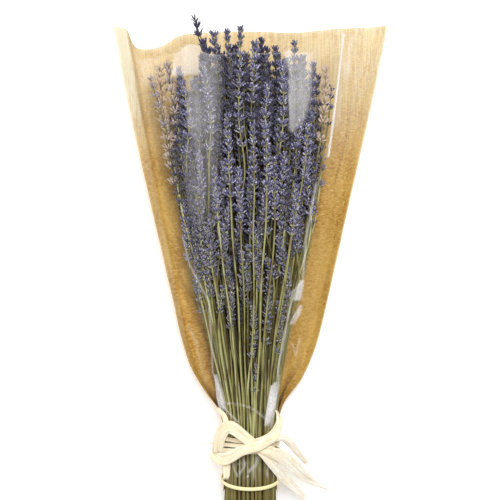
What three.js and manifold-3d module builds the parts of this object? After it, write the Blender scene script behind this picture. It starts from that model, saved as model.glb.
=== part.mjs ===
// A bunch of dried lavender lying on its back, in millimetres, +Z up.
// It lies along Y with the flower heads at +Y. The bunch stands in a tapered sleeve with a kraft-paper
// back and a clear-film front, tied round the stems with raffia and held by an elastic band below.
// Heights along the bunch are measured from the middle of the tie.
import * as THREE from 'three';
import { mergeVertices } from 'three/addons/utils/BufferGeometryUtils.js';
import Module from 'manifold-3d';

// ---- Driving dimensions -------------------------------------------------------------------------

const GAP = 0.35; // clearance between pieces that touch
const TIE_TOP = 22; // the stems fan out above this height
const FAN_CURVE = 1.25; // and the more so the higher up, as this power of the way
const CUT_END = -68; // mean height of the cut stem ends
const CUT_SPREAD = 5; // how far the cut ends differ

const STEM_RADIUS = 1.15;
const STEM_SIDES = 3;
const PRESSED = { from: -60, to: 23, inset: 0.7, ridges: 32, groove: 1.3 }; // stems inside the tie
const SPIKE_RADIUS = 6.3; // out to the tips of the florets
const SPIKE_CORE = 2.3; // the crowded middle of a flower spike
const SPIKE_TIP = 0.9;
const SPIKE_TAPER = { tip: 0.35, rate: 2 }; // share of the width at the tip, and how fast it fills out
const WHORL_PITCH = 12.2;
const FLORETS = 4; // round one whorl
const WHORL_TURN = Math.PI / FLORETS;

const FILL_SPIKES = 41; // heads behind the ones that show at the front, spread over an oval
const FILL_OVAL = { across: 0.97, up: 0.68, lower: 0.28 };
const FILL_TIPS = [196, 352];
const FILL_LENGTHS = [58, 84];
const FILL_DROP = 16; // how much lower the outer ones end
const SPIKE_NODES = 54; // heads past this number are joined to a neighbour
const SEED = 20;

// Cross-section of the bunch: height, middle, half width, half depth, clearance under it.
// The stems bend only at these heights.
const BUNCH = [
  { y: CUT_END, middle: 0, halfWidth: 23.5, halfDepth: 16, under: 6 },
  { y: TIE_TOP, middle: 0.5, halfWidth: 23.5, halfDepth: 16, under: 6 },
  { y: 56, middle: -0.5, halfWidth: 29, halfDepth: 19, under: 3.4 },
  { y: 102, middle: -1.5, halfWidth: 38, halfDepth: 22.5, under: 2.2 },
  { y: 148, middle: -2.5, halfWidth: 51, halfDepth: 25.5, under: 2 },
  { y: 194, middle: -3.5, halfWidth: 62, halfDepth: 27.5, under: 2 },
  { y: 240, middle: -3.5, halfWidth: 73, halfDepth: 29.5, under: 2 },
  { y: 286, middle: -3.5, halfWidth: 83, halfDepth: 31.5, under: 2 },
  { y: 332, middle: -7, halfWidth: 87, halfDepth: 32, under: 2 },
  { y: 384, middle: -14, halfWidth: 86, halfDepth: 31, under: 2 },
];

// Outline of the sleeve: height, half width of the paper, height of its raised sides.
const SLEEVE = [
  { y: -44, halfWidth: 27, rimHeight: 16 },
  { y: 20, halfWidth: 28, rimHeight: 15 },
  { y: 28, halfWidth: 30, rimHeight: 14 },
  { y: 38, halfWidth: 34, rimHeight: 13.5 },
  { y: 50, halfWidth: 41, rimHeight: 14 },
  { y: 72, halfWidth: 52.5, rimHeight: 15 },
  { y: 94, halfWidth: 60.5, rimHeight: 16 },
  { y: 132, halfWidth: 69.5, rimHeight: 17.5 },
  { y: 182, halfWidth: 81, rimHeight: 19 },
  { y: 288, halfWidth: 104.5, rimHeight: 22 },
  { y: 372, halfWidth: 123, rimHeight: 24 },
];

const PAPER_THICKNESS = 0.8;
const FILM_THICKNESS = 0.6;
const PAPER_FLAT = 0.3; // share of the paper's width that lies flat on the surface
const SIDE_CURVE = 1.9; // how gradually its sides rise
const HEM_START = 0.92; // outside this share of the width the side margin turns up
const HEM_RISE = 4;
const FILM_REACH = 0.9; // share of the paper's width that the film spans
const FILM_CLEARANCE = 2.4; // over the heads that press against it
const FILM_ARC = 0.6; // share of the film's columns that lie on the bunch
const FILM_MARGIN = 0.6; // from the pressed stems to the film, at the tie
const PAPER_MARGIN = FILM_MARGIN + FILM_THICKNESS + PAPER_THICKNESS + 0.5; // to the paper's outside
const NECK_WRAP = THREE.MathUtils.degToRad(100); // half the turn that each sheet takes round the stems
const GATHER = { from: 20, to: 62 }; // heights between which the sleeve opens out

// Heights of the rows of each sheet, and the share of the half width at its columns.
const PAPER_ROWS = [-40, -16, 8, 20, 28, 36, 46, 58, 74, 94, 128, 176, 232, 290, 328, 365];
const PAPER_COLUMNS = [-1, -0.92, -0.8, -0.64, -0.48, -0.3, -0.1, 0.1, 0.3, 0.48, 0.64, 0.8, 0.92, 1];
const FILM_ROWS = [-36, -8, 20, 28, 36, 46, 56, 78, 102, 148, 194, 240, 286, 332, 348];
const FILM_COLUMNS = [-1, -0.8, -0.6, -0.48, -0.34, -0.18, 0, 0.18, 0.34, 0.48, 0.6, 0.8, 1];

// Top edges: share of the half width, height there.
const PAPER_TOP = [[-1, 370], [-0.9, 369], [-0.8, 354], [-0.7, 352], [-0.6, 356], [-0.5, 362],
  [-0.3, 363.5], [0, 366], [0.35, 365], [0.6, 368.5], [1, 371]];
const FILM_TOP = [[-1, 340], [-0.7, 340], [-0.55, 350], [-0.4, 351], [0, 347], [0.5, 355],
  [0.75, 361], [1, 362]];

// The tie: raffia rings, knot, loops and tails, each a run of [x, y, z] points.
const RAFFIA_THICKNESS = 1.7;
const RAFFIA_RINGS = [{ y: 4.5, tilt: 6, width: 9 }, { y: -3.5, tilt: -7, width: 9 }];
const KNOT = { x: 15, y: 4.5, aboveStems: 4.5, halfWidth: 9, halfLength: 7, halfHeight: 3.6 };
const BIG_LOOP = [[12, 6.5, 44.5], [-1.7, 14.8, 46.5], [-12, 21.5, 46.5], [-20.5, 22.5, 45],
  [-27, 17, 42], [-30.2, 7.5, 40], [-28.8, -2.8, 40], [-20, -6.4, 43.5], [-8, -1.6, 45.5], [3, 3, 46],
  [14, 6, 44.5]];
const SMALL_LOOP = [[17, 6, 44.5], [26, 17, 42.5], [29.2, 28, 39.5], [25.5, 31.5, 40], [20.5, 22, 43],
  [15, 8, 44.5]];
const WIDE_TAIL = [[12, 5, 44.5], [26.9, -5.3, 43], [40.2, -17.2, 36], [56.6, -29.1, 26],
  [74, -42.5, 13]];
const LONG_TAIL = [[10.5, 3.5, 46], [19.1, -9.4, 45], [28.8, -22, 39], [39.7, -35.7, 28],
  [51, -51, 15]];
const THIN_TAIL = [[14, 7, 44.5], [33.1, 4.5, 39], [43, -6.2, 29], [52.5, -20.5, 17]];
const SHORT_END = [[-8, 0, 44.3], [-20, -1.5, 40.5], [-29, -4, 34.5], [-33.5, -7, 29]];
const TAPER_FROM = 0.7; // share of a ribbon's length where its end begins to narrow

const RIBBONS = [
  { points: BIG_LOOP, width: 8, steps: 12, taper: 1 },
  { points: SMALL_LOOP, width: 4.8, steps: 7, taper: 1 },
  { points: WIDE_TAIL, width: 8.8, steps: 6, taper: 0.3 },
  { points: LONG_TAIL, width: 7.2, steps: 6, taper: 0.4 },
  { points: THIN_TAIL, width: 4.4, steps: 5, taper: 0.5 },
  { points: SHORT_END, width: 5.6, steps: 4, taper: 0.6 },
];

const BAND = { y: -30.5, width: 3.2, thickness: 1.5, tilt: 17 };

const COLOURS = {
  stem: 0x82874b, spike: 0x55527f, paper: 0xc8a05a, film: 0xe9e6ec, raffia: 0xfaeecd, band: 0xf0e8b9,
};

// Heads that show at the front: [x, y] of the base of the flowers and of the tip, and the width.
const FRONT_SPIKES = [
  { base: [-30.8, 318], tip: [-46, 378], slim: 0.72 },
  { base: [-29, 293], tip: [-33, 363] },
  { base: [-15.4, 281], tip: [-22, 364], slim: 0.85 },
  { base: [-1.7, 261], tip: [-7.2, 366], slim: 0.85 },
  { base: [5.1, 284], tip: [4.3, 353] },
  { base: [10.3, 289], tip: [11, 357] },
  { base: [18.8, 236], tip: [12, 317] },
  { base: [25.7, 276], tip: [18.8, 350] },
  { base: [41.9, 286], tip: [38, 355], slim: 0.8 },
  { base: [29, 267], tip: [27.4, 336] },
  { base: [52, 248], tip: [58, 337] },
  { base: [58, 267], tip: [66, 334], slim: 0.8 },
  { base: [71, 281], tip: [74, 319], slim: 0.7 },
  { base: [-77, 280], tip: [-87, 325], slim: 0.7 },
  { base: [-75, 270], tip: [-79.6, 334], slim: 0.8 },
  { base: [-67.6, 267], tip: [-70, 336], slim: 0.85 },
  { base: [-54.8, 256], tip: [-61.6, 319] },
  { base: [-46, 258], tip: [-49.6, 322] },
  { base: [-34, 258], tip: [-41, 334] },
  { base: [-20.5, 217], tip: [-27.4, 291] },
  { base: [41.9, 235], tip: [46.2, 288] },
  { base: [16.3, 210], tip: [5.1, 256] },
  { base: [-5, 203], tip: [-8.6, 259] },
  { base: [-42.8, 186], tip: [-51.3, 259] },
  { base: [-31.7, 194], tip: [-37.6, 251] },
  { base: [32.5, 194], tip: [34.2, 259] },
  { base: [46.2, 203], tip: [51.3, 260] },
  { base: [-26.5, 166], tip: [-29, 217] },
  { base: [-11, 145], tip: [-10.3, 212] },
  { base: [0.9, 163], tip: [1.7, 218] },
  { base: [18, 143], tip: [13.7, 208] },
  { base: [19.7, 147], tip: [24.8, 201], slim: 0.9 },
  { base: [42.8, 173], tip: [45.3, 224] },
  { base: [-47, 163], tip: [-57.3, 217] },
  { base: [-13.7, 182], tip: [-18, 244] },
  { base: [24.8, 186], tip: [22.2, 247] },
  { base: [9.5, 137], tip: [10.4, 180], slim: 0.9 },
  { base: [-3.5, 109], tip: [-5.2, 174] },
  { base: [29.4, 130], tip: [36.3, 189] },
  { base: [-36.3, 131], tip: [-42.4, 176] },
  { base: [-28.6, 118], tip: [-30.3, 145], slim: 0.7 },
  { base: [-11.2, 104], tip: [-18.2, 146], slim: 0.75 },
  { base: [0.9, 80], tip: [4.3, 128], slim: 0.85 },
  { base: [6.9, 91], tip: [13, 132], slim: 0.85 },
  { base: [19, 82], tip: [28, 132], slim: 0.7 },
  { base: [1.7, 49], tip: [9.5, 77], slim: 0.5 },
  { base: [-40.7, 134], tip: [-51, 160], slim: 0.6 },
];

// ---- Small helpers ------------------------------------------------------------------------------

const { lerp, clamp, smoothstep } = THREE.MathUtils;

// A seeded source of numbers from 0 to 1.
function numberSource(seed) {
  let state = seed;
  return () => {
    state = (state * 1664525 + 1013904223) % 4294967296;
    return state / 4294967296;
  };
}

// Value of a column of a table at height y, straight between its rows.
function valueAt(rows, y, column) {
  let row = 0;
  while (row < rows.length - 2 && y > rows[row + 1].y) row += 1;
  const share = clamp((y - rows[row].y) / (rows[row + 1].y - rows[row].y), 0, 1);
  return lerp(rows[row][column], rows[row + 1][column], share);
}

function edgeHeight(edge, across) {
  return valueAt(edge.map(([x, height]) => ({ y: x, height })), across, 'height');
}

function sectionAt(y) {
  const halfDepth = valueAt(BUNCH, y, 'halfDepth');
  return {
    middle: valueAt(BUNCH, y, 'middle'),
    halfWidth: valueAt(BUNCH, y, 'halfWidth'),
    halfDepth,
    height: valueAt(BUNCH, y, 'under') + halfDepth,
  };
}

const NECK = sectionAt(0);

// ---- Where each stem runs -----------------------------------------------------------------------

const STATIONS = BUNCH.map(({ y }) => y);
const LEVEL_SHARES = [0, 0.33, 0.67]; // of the way from one station to the next
const LAYOUT_ROUNDS = 500;
const SETTLING_ROUNDS = 150; // the last rounds only part what still touches
const PUSH = 0.35; // share of an overlap that one round takes away
const PULL = 0.06; // share of the way to its wish that a route moves in one round
const STRAIGHTEN = 0.12; // and of the way to a straight run

const SIDE_LIMIT = 0.96; // of the half width, at the tie
const FRONT_DEPTHS = [0.15, 0.95]; // the lower a head, the nearer its stem lies to the front

function frontPlants() {
  const heights = FRONT_SPIKES.map(({ tip }) => tip[1]);
  const lowest = Math.min(...heights);
  const highest = Math.max(...heights);
  return FRONT_SPIKES.map(({ base, tip, slim = 1 }) => {
    const section = sectionAt(base[1]);
    const across = clamp(
      (base[0] - section.middle) / (section.halfWidth - SPIKE_RADIUS), -SIDE_LIMIT, SIDE_LIMIT);
    const forward = lerp(...FRONT_DEPTHS, (highest - tip[1]) / (highest - lowest));
    return {
      baseX: base[0], base: base[1], tipX: tip[0], tip: tip[1], radius: SPIKE_RADIUS * slim,
      front: true, across, up: Math.sqrt(1 - across * across) * forward,
    };
  });
}

function fillPlants(random) {
  const goldenAngle = Math.PI * (3 - Math.sqrt(5));
  return Array.from({ length: FILL_SPIKES }, (_, index) => {
    const reach = Math.sqrt((index + 0.5) / FILL_SPIKES);
    const turn = index * goldenAngle;
    const across = FILL_OVAL.across * reach * Math.cos(turn);
    const up = FILL_OVAL.up * reach * Math.sin(turn) - FILL_OVAL.lower;
    const tip = lerp(...FILL_TIPS, random()) - FILL_DROP * Math.abs(across);
    const base = tip - lerp(...FILL_LENGTHS, random());
    return { base, tip, radius: SPIKE_RADIUS * lerp(0.85, 1, random()), front: false, across, up };
  });
}

// How far a plant reaches from its own middle at height y.
function reachAt(plant, y) {
  if (y > plant.tip) return 0;
  if (y < plant.base) return STEM_RADIUS;
  const share = (y - plant.base) / (plant.tip - plant.base);
  return plant.radius * Math.min(1, SPIKE_TAPER.tip + SPIKE_TAPER.rate * (1 - share));
}

// Where a plant would like to be at height y.
function wishAt(plant, y) {
  const neck = {
    x: NECK.middle + (NECK.halfWidth - STEM_RADIUS) * plant.across,
    z: NECK.height + (NECK.halfDepth - STEM_RADIUS) * plant.up,
  };
  if (y <= TIE_TOP) return neck;
  const free = inBunch(plant, Math.max(y, plant.base));
  if (y >= plant.base) return free;
  const share = ((y - TIE_TOP) / (plant.base - TIE_TOP)) ** FAN_CURVE;
  return { x: lerp(neck.x, free.x, share), z: lerp(neck.z, free.z, share) };
}

function inBunch(plant, y) {
  const section = sectionAt(y);
  const roomX = section.halfWidth - plant.radius;
  const roomZ = section.halfDepth - plant.radius;
  if (!plant.front) {
    return { x: section.middle + roomX * plant.across, z: section.height + roomZ * plant.up };
  }
  const share = (y - plant.base) / (plant.tip - plant.base);
  const x = lerp(plant.baseX, plant.tipX, Math.min(share, 1));
  const side = Math.min(SIDE_LIMIT, Math.abs((x - section.middle) / roomX));
  return { x, z: section.height + roomZ * Math.sqrt(1 - side * side) };
}

// The heights at which plants are kept apart, each with the stations below and above it.
function layoutLevels() {
  const levels = [];
  for (let low = 0; low < STATIONS.length - 1; low += 1) {
    for (const share of LEVEL_SHARES) {
      levels.push({ y: lerp(STATIONS[low], STATIONS[low + 1], share), low, high: low + 1, share });
    }
  }
  return levels;
}

const LEVEL_SPAN = 8; // a level keeps room for what lies this far above and below it

function widestNear(plant, y) {
  const reaches = [-LEVEL_SPAN, 0, LEVEL_SPAN].map((step) => reachAt(plant, y + step));
  return Math.max(...reaches);
}

// Moves the plants apart at every level, all of them at once.
function partPlants(plants, levels) {
  const moves = plants.map(() => STATIONS.map(() => ({ x: 0, z: 0 })));
  for (const level of levels) {
    const places = plants.map(({ route }) => ({
      x: lerp(route[level.low].x, route[level.high].x, level.share),
      z: lerp(route[level.low].z, route[level.high].z, level.share),
    }));
    for (let a = 0; a < plants.length; a += 1) {
      for (let b = a + 1; b < plants.length; b += 1) {
        if (level.reaches[a] === 0 || level.reaches[b] === 0) continue;
        const away = { x: places[b].x - places[a].x, z: places[b].z - places[a].z };
        const distance = Math.hypot(away.x, away.z) + 1e-6;
        const overlap = level.reaches[a] + level.reaches[b] + GAP - distance;
        if (overlap <= 0) continue;
        const shareA = level.reaches[b] / (level.reaches[a] + level.reaches[b]);
        for (const [index, share] of [[a, -shareA], [b, 1 - shareA]]) {
          const push = (share * overlap * PUSH) / distance;
          for (const [station, weight] of [[level.low, 1 - level.share], [level.high, level.share]]) {
            moves[index][station].x += push * weight * away.x;
            moves[index][station].z += push * weight * away.z;
          }
        }
      }
    }
  }
  plants.forEach(({ route }, index) => {
    route.forEach((point, station) => {
      point.x += moves[index][station].x;
      point.z += moves[index][station].z;
    });
  });
}

// Eases each route towards its wish and straightens it a little.
function easeRoutes(plants, strength) {
  for (const plant of plants) {
    const before = plant.route.map((point) => ({ ...point }));
    plant.route.forEach((point, station) => {
      const wish = plant.wishes[station];
      point.x += (wish.x - point.x) * PULL * strength;
      point.z += (wish.z - point.z) * PULL * strength;
      if (station === 0 || station === STATIONS.length - 1) return;
      const previous = before[station - 1];
      const next = before[station + 1];
      point.x += ((previous.x + next.x) / 2 - before[station].x) * STRAIGHTEN * strength;
      point.z += ((previous.z + next.z) / 2 - before[station].z) * STRAIGHTEN * strength;
    });
  }
}

// Keeps each route inside the bunch's cross-section.
function keepInside(plants) {
  for (const plant of plants) {
    plant.route.forEach((point, station) => {
      const reach = plant.room[station];
      const section = plant.sections[station];
      const x = (point.x - section.middle) / (section.halfWidth - reach);
      const z = (point.z - section.height) / (section.halfDepth - reach);
      const out = Math.hypot(x, z);
      if (out <= 1) return;
      point.x = section.middle + ((point.x - section.middle) / out);
      point.z = section.height + ((point.z - section.height) / out);
    });
  }
}

function layOutPlants() {
  const plants = [...frontPlants(), ...fillPlants(numberSource(SEED))];
  const levels = layoutLevels();
  for (const level of levels) level.reaches = plants.map((plant) => widestNear(plant, level.y));
  for (const plant of plants) {
    plant.wishes = STATIONS.map((y) => wishAt(plant, y));
    plant.route = plant.wishes.map((wish) => ({ ...wish }));
    plant.room = STATIONS.map((y) => Math.max(widestNear(plant, y), STEM_RADIUS));
    plant.sections = STATIONS.map((y) => sectionAt(y));
  }
  for (let round = 0; round < LAYOUT_ROUNDS; round += 1) {
    const left = LAYOUT_ROUNDS - SETTLING_ROUNDS - round;
    easeRoutes(plants, clamp(left / SETTLING_ROUNDS, 0, 1));
    partPlants(plants, levels);
    keepInside(plants);
  }
  return plants;
}

function placeAt(plant, y) {
  let station = 0;
  while (station < STATIONS.length - 2 && y > STATIONS[station + 1]) station += 1;
  const share = (y - STATIONS[station]) / (STATIONS[station + 1] - STATIONS[station]);
  return {
    x: lerp(plant.route[station].x, plant.route[station + 1].x, share),
    z: lerp(plant.route[station].z, plant.route[station + 1].z, share),
  };
}

// ---- Solids -------------------------------------------------------------------------------------

const wasm = await Module();
wasm.setup();

// A closed geometry whose triangles are given as indices into a list of points.
function closedGeometry(points, triangles) {
  const geometry = new THREE.BufferGeometry();
  geometry.setAttribute('position', new THREE.Float32BufferAttribute(points.flat(), 3));
  geometry.setIndex(triangles.flat());
  return geometry;
}

function solidFrom(geometry) {
  const bare = geometry.clone();
  bare.deleteAttribute('normal');
  bare.deleteAttribute('uv');
  const merged = mergeVertices(bare, 1e-4);
  return new wasm.Manifold(new wasm.Mesh({
    numProp: 3,
    vertProperties: new Float32Array(merged.attributes.position.array),
    triVerts: new Uint32Array(merged.index.array),
  }));
}

function geometryFrom(solid) {
  const mesh = solid.getMesh();
  const geometry = new THREE.BufferGeometry();
  geometry.setAttribute('position', new THREE.BufferAttribute(mesh.vertProperties, 3));
  geometry.setIndex(new THREE.BufferAttribute(mesh.triVerts, 1));
  return geometry;
}

// The largest body of a joined solid, without loose scraps or sealed bubbles.
function joined(geometries) {
  const whole = geometries.map(solidFrom).reduce((sum, solid) => sum.add(solid));
  const bodies = whole.decompose().sort((a, b) => b.volume() - a.volume());
  return geometryFrom(bodies[0]);
}

// Rings of equal count, from low to high, closed by a flat fan at each end.
function ringTriangles(rings, sides) {
  const triangles = [];
  for (let ring = 0; ring < rings - 1; ring += 1) {
    for (let side = 0; side < sides; side += 1) {
      const next = (side + 1) % sides;
      const here = ring * sides;
      triangles.push([here + side, here + next, here + sides + side]);
      triangles.push([here + next, here + sides + next, here + sides + side]);
    }
  }
  return triangles;
}

function endCaps(rings, sides) {
  const triangles = [];
  const top = (rings - 1) * sides;
  for (let side = 1; side < sides - 1; side += 1) {
    triangles.push([0, side + 1, side]);
    triangles.push([top, top + side, top + side + 1]);
  }
  return triangles;
}

// A point at an angle round the route, turning so that rings wind the right way along +Y.
function around(place, y, radius, angle) {
  return [place.x + radius * Math.sin(angle), y, place.z + radius * Math.cos(angle)];
}

function stemGeometry(plant, index) {
  const cut = CUT_END + CUT_SPREAD * Math.sin(index * 2.4);
  const top = plant.base - GAP;
  const heights = [cut, ...STATIONS.slice(1).filter((y) => y < top - 4), top];
  const points = heights.flatMap((y) => Array.from({ length: STEM_SIDES }, (_, side) => (
    around(placeAt(plant, y), y, STEM_RADIUS, index + (side * 2 * Math.PI) / STEM_SIDES))));
  const rings = heights.length;
  return closedGeometry(points, [...ringTriangles(rings, STEM_SIDES), ...endCaps(rings, STEM_SIDES)]);
}

// Inside the tie the stems are pressed into one mass, ridged like the stems along its outside.
function pressedStems() {
  const outline = Array.from({ length: 2 * PRESSED.ridges }, (_, corner) => {
    const angle = (corner * Math.PI) / PRESSED.ridges;
    const inset = PRESSED.inset + (corner % 2) * PRESSED.groove;
    return new THREE.Vector2(
      (NECK.halfWidth - inset) * Math.cos(angle), (NECK.halfDepth - inset) * Math.sin(angle));
  });
  const geometry = new THREE.ExtrudeGeometry(new THREE.Shape(outline), {
    depth: PRESSED.to - PRESSED.from, bevelEnabled: false,
  });
  geometry.rotateX(-Math.PI / 2);
  geometry.translate(NECK.middle, PRESSED.from, NECK.height);
  return geometry;
}

// ---- Flower spikes ------------------------------------------------------------------------------

const HEAD_MARGIN = 8; // above and below a head that its neighbours leave free
const LEAST_FACING = 0.05; // a floret that hardly leans towards a neighbour isn't held back by it
const APART = 0.45; // how much longer the lowest whorl's interval is, where it stands apart
const APEX = { whorl: 0.95, last: 0.8 }; // height of the floret tips between two rings
const UNEVEN = 0.1; // florets reach this share less far, more or less

// Heights of the rings between the whorls; the lowest whorl often stands apart from the rest.
function ringHeights(plant, index) {
  const length = plant.tip - plant.base;
  const count = Math.max(2, Math.round(length / WHORL_PITCH));
  const apart = index % 3 === 0 ? APART : 0;
  const heights = [plant.base];
  for (let ring = 1; ring <= count; ring += 1) {
    heights.push(plant.base + (length * (ring + apart * (1 - ring / count))) / count);
  }
  return heights;
}

// How far a floret may reach that way before it meets a neighbour's share of the room.
function freeReach(plants, plant, y, angle) {
  const here = placeAt(plant, y);
  const ownReach = reachAt(plant, y);
  let limit = plant.radius;
  for (const other of plants) {
    if (other === plant || y - HEAD_MARGIN > other.tip) continue;
    const there = placeAt(other, y);
    const away = { x: there.x - here.x, z: there.z - here.z };
    const distance = Math.hypot(away.x, away.z);
    const facing = (Math.sin(angle) * away.x + Math.cos(angle) * away.z) / distance;
    if (facing < LEAST_FACING) continue;
    const byHead = y > other.base - HEAD_MARGIN;
    const otherReach = Math.max(reachAt(other, y), SPIKE_CORE + 1);
    const room = byHead
      ? (distance - GAP) * (ownReach / (ownReach + otherReach))
      : distance - STEM_RADIUS - GAP;
    limit = Math.min(limit, room / facing);
  }
  return limit;
}

// A spike is a stack of whorls: between two rings stands a circle of pointed florets.
function spikeGeometry(plants, plant, index) {
  const heights = ringHeights(plant, index);
  const last = heights.length - 1;
  const points = [];
  const triangles = [];
  const angleOf = (ring, side) => index + ring * WHORL_TURN + side * 2 * WHORL_TURN;
  const radii = heights.map(() => SPIKE_CORE * (plant.radius / SPIKE_RADIUS));
  radii[0] = STEM_RADIUS;
  radii[last] = SPIKE_TIP;
  heights.forEach((y, ring) => {
    for (let side = 0; side < FLORETS; side += 1) {
      points.push(around(placeAt(plant, y), y, radii[ring], angleOf(ring, side)));
    }
  });
  for (let ring = 0; ring < last; ring += 1) {
    const rise = ring === last - 1 ? APEX.last : APEX.whorl;
    const apexHeight = lerp(heights[ring], heights[ring + 1], rise);
    for (let side = 0; side < FLORETS; side += 1) {
      const angle = angleOf(ring, side + 0.5);
      const uneven = 1 - UNEVEN * (1 - Math.sin(7 * side + 3 * ring + index));
      const wanted = reachAt(plant, apexHeight) * uneven;
      const reach = Math.min(wanted, freeReach(plants, plant, apexHeight, angle));
      const low = [ring * FLORETS + side, ring * FLORETS + ((side + 1) % FLORETS)];
      const high = [(ring + 1) * FLORETS + side, (ring + 1) * FLORETS + ((side + 1) % FLORETS)];
      const apex = points.length;
      points.push(around(placeAt(plant, apexHeight), apexHeight, reach, angle));
      triangles.push([low[0], low[1], apex], [low[1], high[0], apex], [high[0], low[0], apex]);
      triangles.push([low[1], high[1], high[0]]);
    }
  }
  return closedGeometry(points, [...triangles, ...endCaps(heights.length, FLORETS)]);
}

const CATCH = { aboveBase: 6, belowTip: 14, step: 3, farthest: 16 };

// Nearest approach of two spikes, where their florets are caught in each other.
function nearestApproach(a, b) {
  const from = Math.max(a.base, b.base) + CATCH.aboveBase;
  const to = Math.min(a.tip, b.tip) - CATCH.belowTip;
  let nearest = { distance: Infinity };
  for (let y = from; y <= to; y += CATCH.step) {
    const here = placeAt(a, y);
    const there = placeAt(b, y);
    const distance = Math.hypot(there.x - here.x, there.z - here.z);
    if (distance < nearest.distance) nearest = { distance, y, here, there };
  }
  return nearest;
}

// Heads past the number of spike bodies are joined to their nearest neighbour, two by two.
function pairUp(plants) {
  const meetings = [];
  plants.forEach((a, first) => {
    plants.slice(first + 1).forEach((b, step) => {
      const meeting = nearestApproach(a, b);
      const members = [first, first + 1 + step];
      if (meeting.distance < CATCH.farthest) meetings.push({ ...meeting, members });
    });
  });
  meetings.sort((a, b) => a.distance - b.distance);
  const paired = new Set();
  const pairs = [];
  for (const meeting of meetings) {
    if (pairs.length >= plants.length - SPIKE_NODES) break;
    if (meeting.members.some((member) => paired.has(member))) continue;
    meeting.members.forEach((member) => paired.add(member));
    pairs.push(meeting);
  }
  const singles = plants.map((_, index) => index).filter((index) => !paired.has(index));
  return { pairs, singles };
}

const CAUGHT_RADII = [0.7, 1.3];
const CAUGHT_RISE = 2;

// The floret of one head that reaches into its neighbour.
function caughtFloret({ y, here, there }) {
  const length = Math.hypot(there.x - here.x, there.z - here.z);
  const geometry = new THREE.CylinderGeometry(...CAUGHT_RADII, length, 3);
  const direction = new THREE.Vector3(there.x - here.x, CAUGHT_RISE, there.z - here.z).normalize();
  geometry.applyQuaternion(new THREE.Quaternion().setFromUnitVectors(
    new THREE.Vector3(0, 1, 0), direction));
  geometry.translate((here.x + there.x) / 2, y, (here.z + there.z) / 2);
  return geometry;
}

// ---- Sleeve -------------------------------------------------------------------------------------

// A closed sheet: a box of one layer whose grid follows at(column, row) and stands off by its thickness.
function sheetGeometry(columns, rows, thickness, at) {
  const across = columns.length - 1;
  const along = rows.length - 1;
  const geometry = new THREE.BoxGeometry(across, along, 1, across, along, 1);
  const position = geometry.attributes.position;
  for (let index = 0; index < position.count; index += 1) {
    const column = Math.round(position.getX(index) + across / 2);
    const row = Math.round(position.getY(index) + along / 2);
    const u = columns[column];
    const point = at(u, row);
    const side = at(u + 0.01, row).sub(at(u - 0.01, row));
    const up = at(u, Math.min(row + 1, along)).sub(at(u, Math.max(row - 1, 0)));
    const normal = side.cross(up).normalize();
    if (position.getZ(index) > 0) point.addScaledVector(normal, thickness);
    position.setXYZ(index, point.x, point.y, point.z);
  }
  return geometry;
}

// 0 where the sleeve is open, 1 where it is gathered round the stems.
function gathered(y) {
  return 1 - smoothstep(y, GATHER.from, GATHER.to);
}

function outsideFlat(u) {
  return Math.max(0, (Math.abs(u) - PAPER_FLAT) / (1 - PAPER_FLAT));
}

// A point close round the stems, at an angle from straight up.
function wrapPoint(y, height, angle, margin) {
  const section = sectionAt(y);
  return new THREE.Vector3(
    section.middle + (section.halfWidth + margin) * Math.sin(angle), height,
    section.height + (section.halfDepth + margin) * Math.cos(angle));
}

// The outer face of the paper, which lies on the surface along its middle.
function paperPoint(u, y, height) {
  const halfWidth = valueAt(SLEEVE, y, 'halfWidth');
  const side = valueAt(SLEEVE, y, 'rimHeight') * outsideFlat(u) ** SIDE_CURVE;
  const hem = HEM_RISE * Math.max(0, (Math.abs(u) - HEM_START) / (1 - HEM_START));
  const open = new THREE.Vector3(halfWidth * u, height, side + hem);
  return open.lerp(wrapPoint(y, height, Math.PI - u * NECK_WRAP, PAPER_MARGIN), gathered(y));
}

// The angle from straight up at which a line from the margin touches the bunch's rounded side.
function tangentAngle(section, across, height) {
  const x = across / (section.halfWidth + FILM_CLEARANCE);
  const z = (height - section.height) / (section.halfDepth + FILM_CLEARANCE);
  return Math.PI / 2 - Math.atan2(z, x) - Math.acos(Math.min(1, 1 / Math.hypot(x, z)));
}

// The inner face of the film: straight up from each paper margin, then round over the bunch.
function filmPoint(u, y, height) {
  const section = sectionAt(y);
  const sign = u < 0 ? -1 : 1;
  const edge = paperPoint(FILM_REACH * sign, y, height);
  edge.z += PAPER_THICKNESS + GAP * 3;
  const limit = tangentAngle(section, (edge.x - section.middle) * sign, edge.z);
  const arc = Math.min(1, Math.abs(u) / FILM_ARC);
  const onBunch = new THREE.Vector3(
    section.middle + sign * (section.halfWidth + FILM_CLEARANCE) * Math.sin(limit * arc), height,
    section.height + (section.halfDepth + FILM_CLEARANCE) * Math.cos(limit * arc));
  const open = onBunch.lerp(edge, Math.max(0, (Math.abs(u) - FILM_ARC) / (1 - FILM_ARC)));
  return open.lerp(wrapPoint(y, height, u * NECK_WRAP, FILM_MARGIN), gathered(y));
}

function kraftPaper() {
  const at = (u, row) => {
    const last = row === PAPER_ROWS.length - 1;
    return paperPoint(u, PAPER_ROWS[row], last ? edgeHeight(PAPER_TOP, u) : PAPER_ROWS[row]);
  };
  return sheetGeometry(PAPER_COLUMNS, PAPER_ROWS, PAPER_THICKNESS, at);
}

function clearFilm() {
  const at = (u, row) => {
    const last = row === FILM_ROWS.length - 1;
    return filmPoint(u, FILM_ROWS[row], last ? edgeHeight(FILM_TOP, u) : FILM_ROWS[row]);
  };
  return sheetGeometry(FILM_COLUMNS, FILM_ROWS, FILM_THICKNESS, at);
}

// ---- Tie and band -------------------------------------------------------------------------------

const RING_EDGE = 0.6; // a ring's outside is this much narrower than its inside

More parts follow.
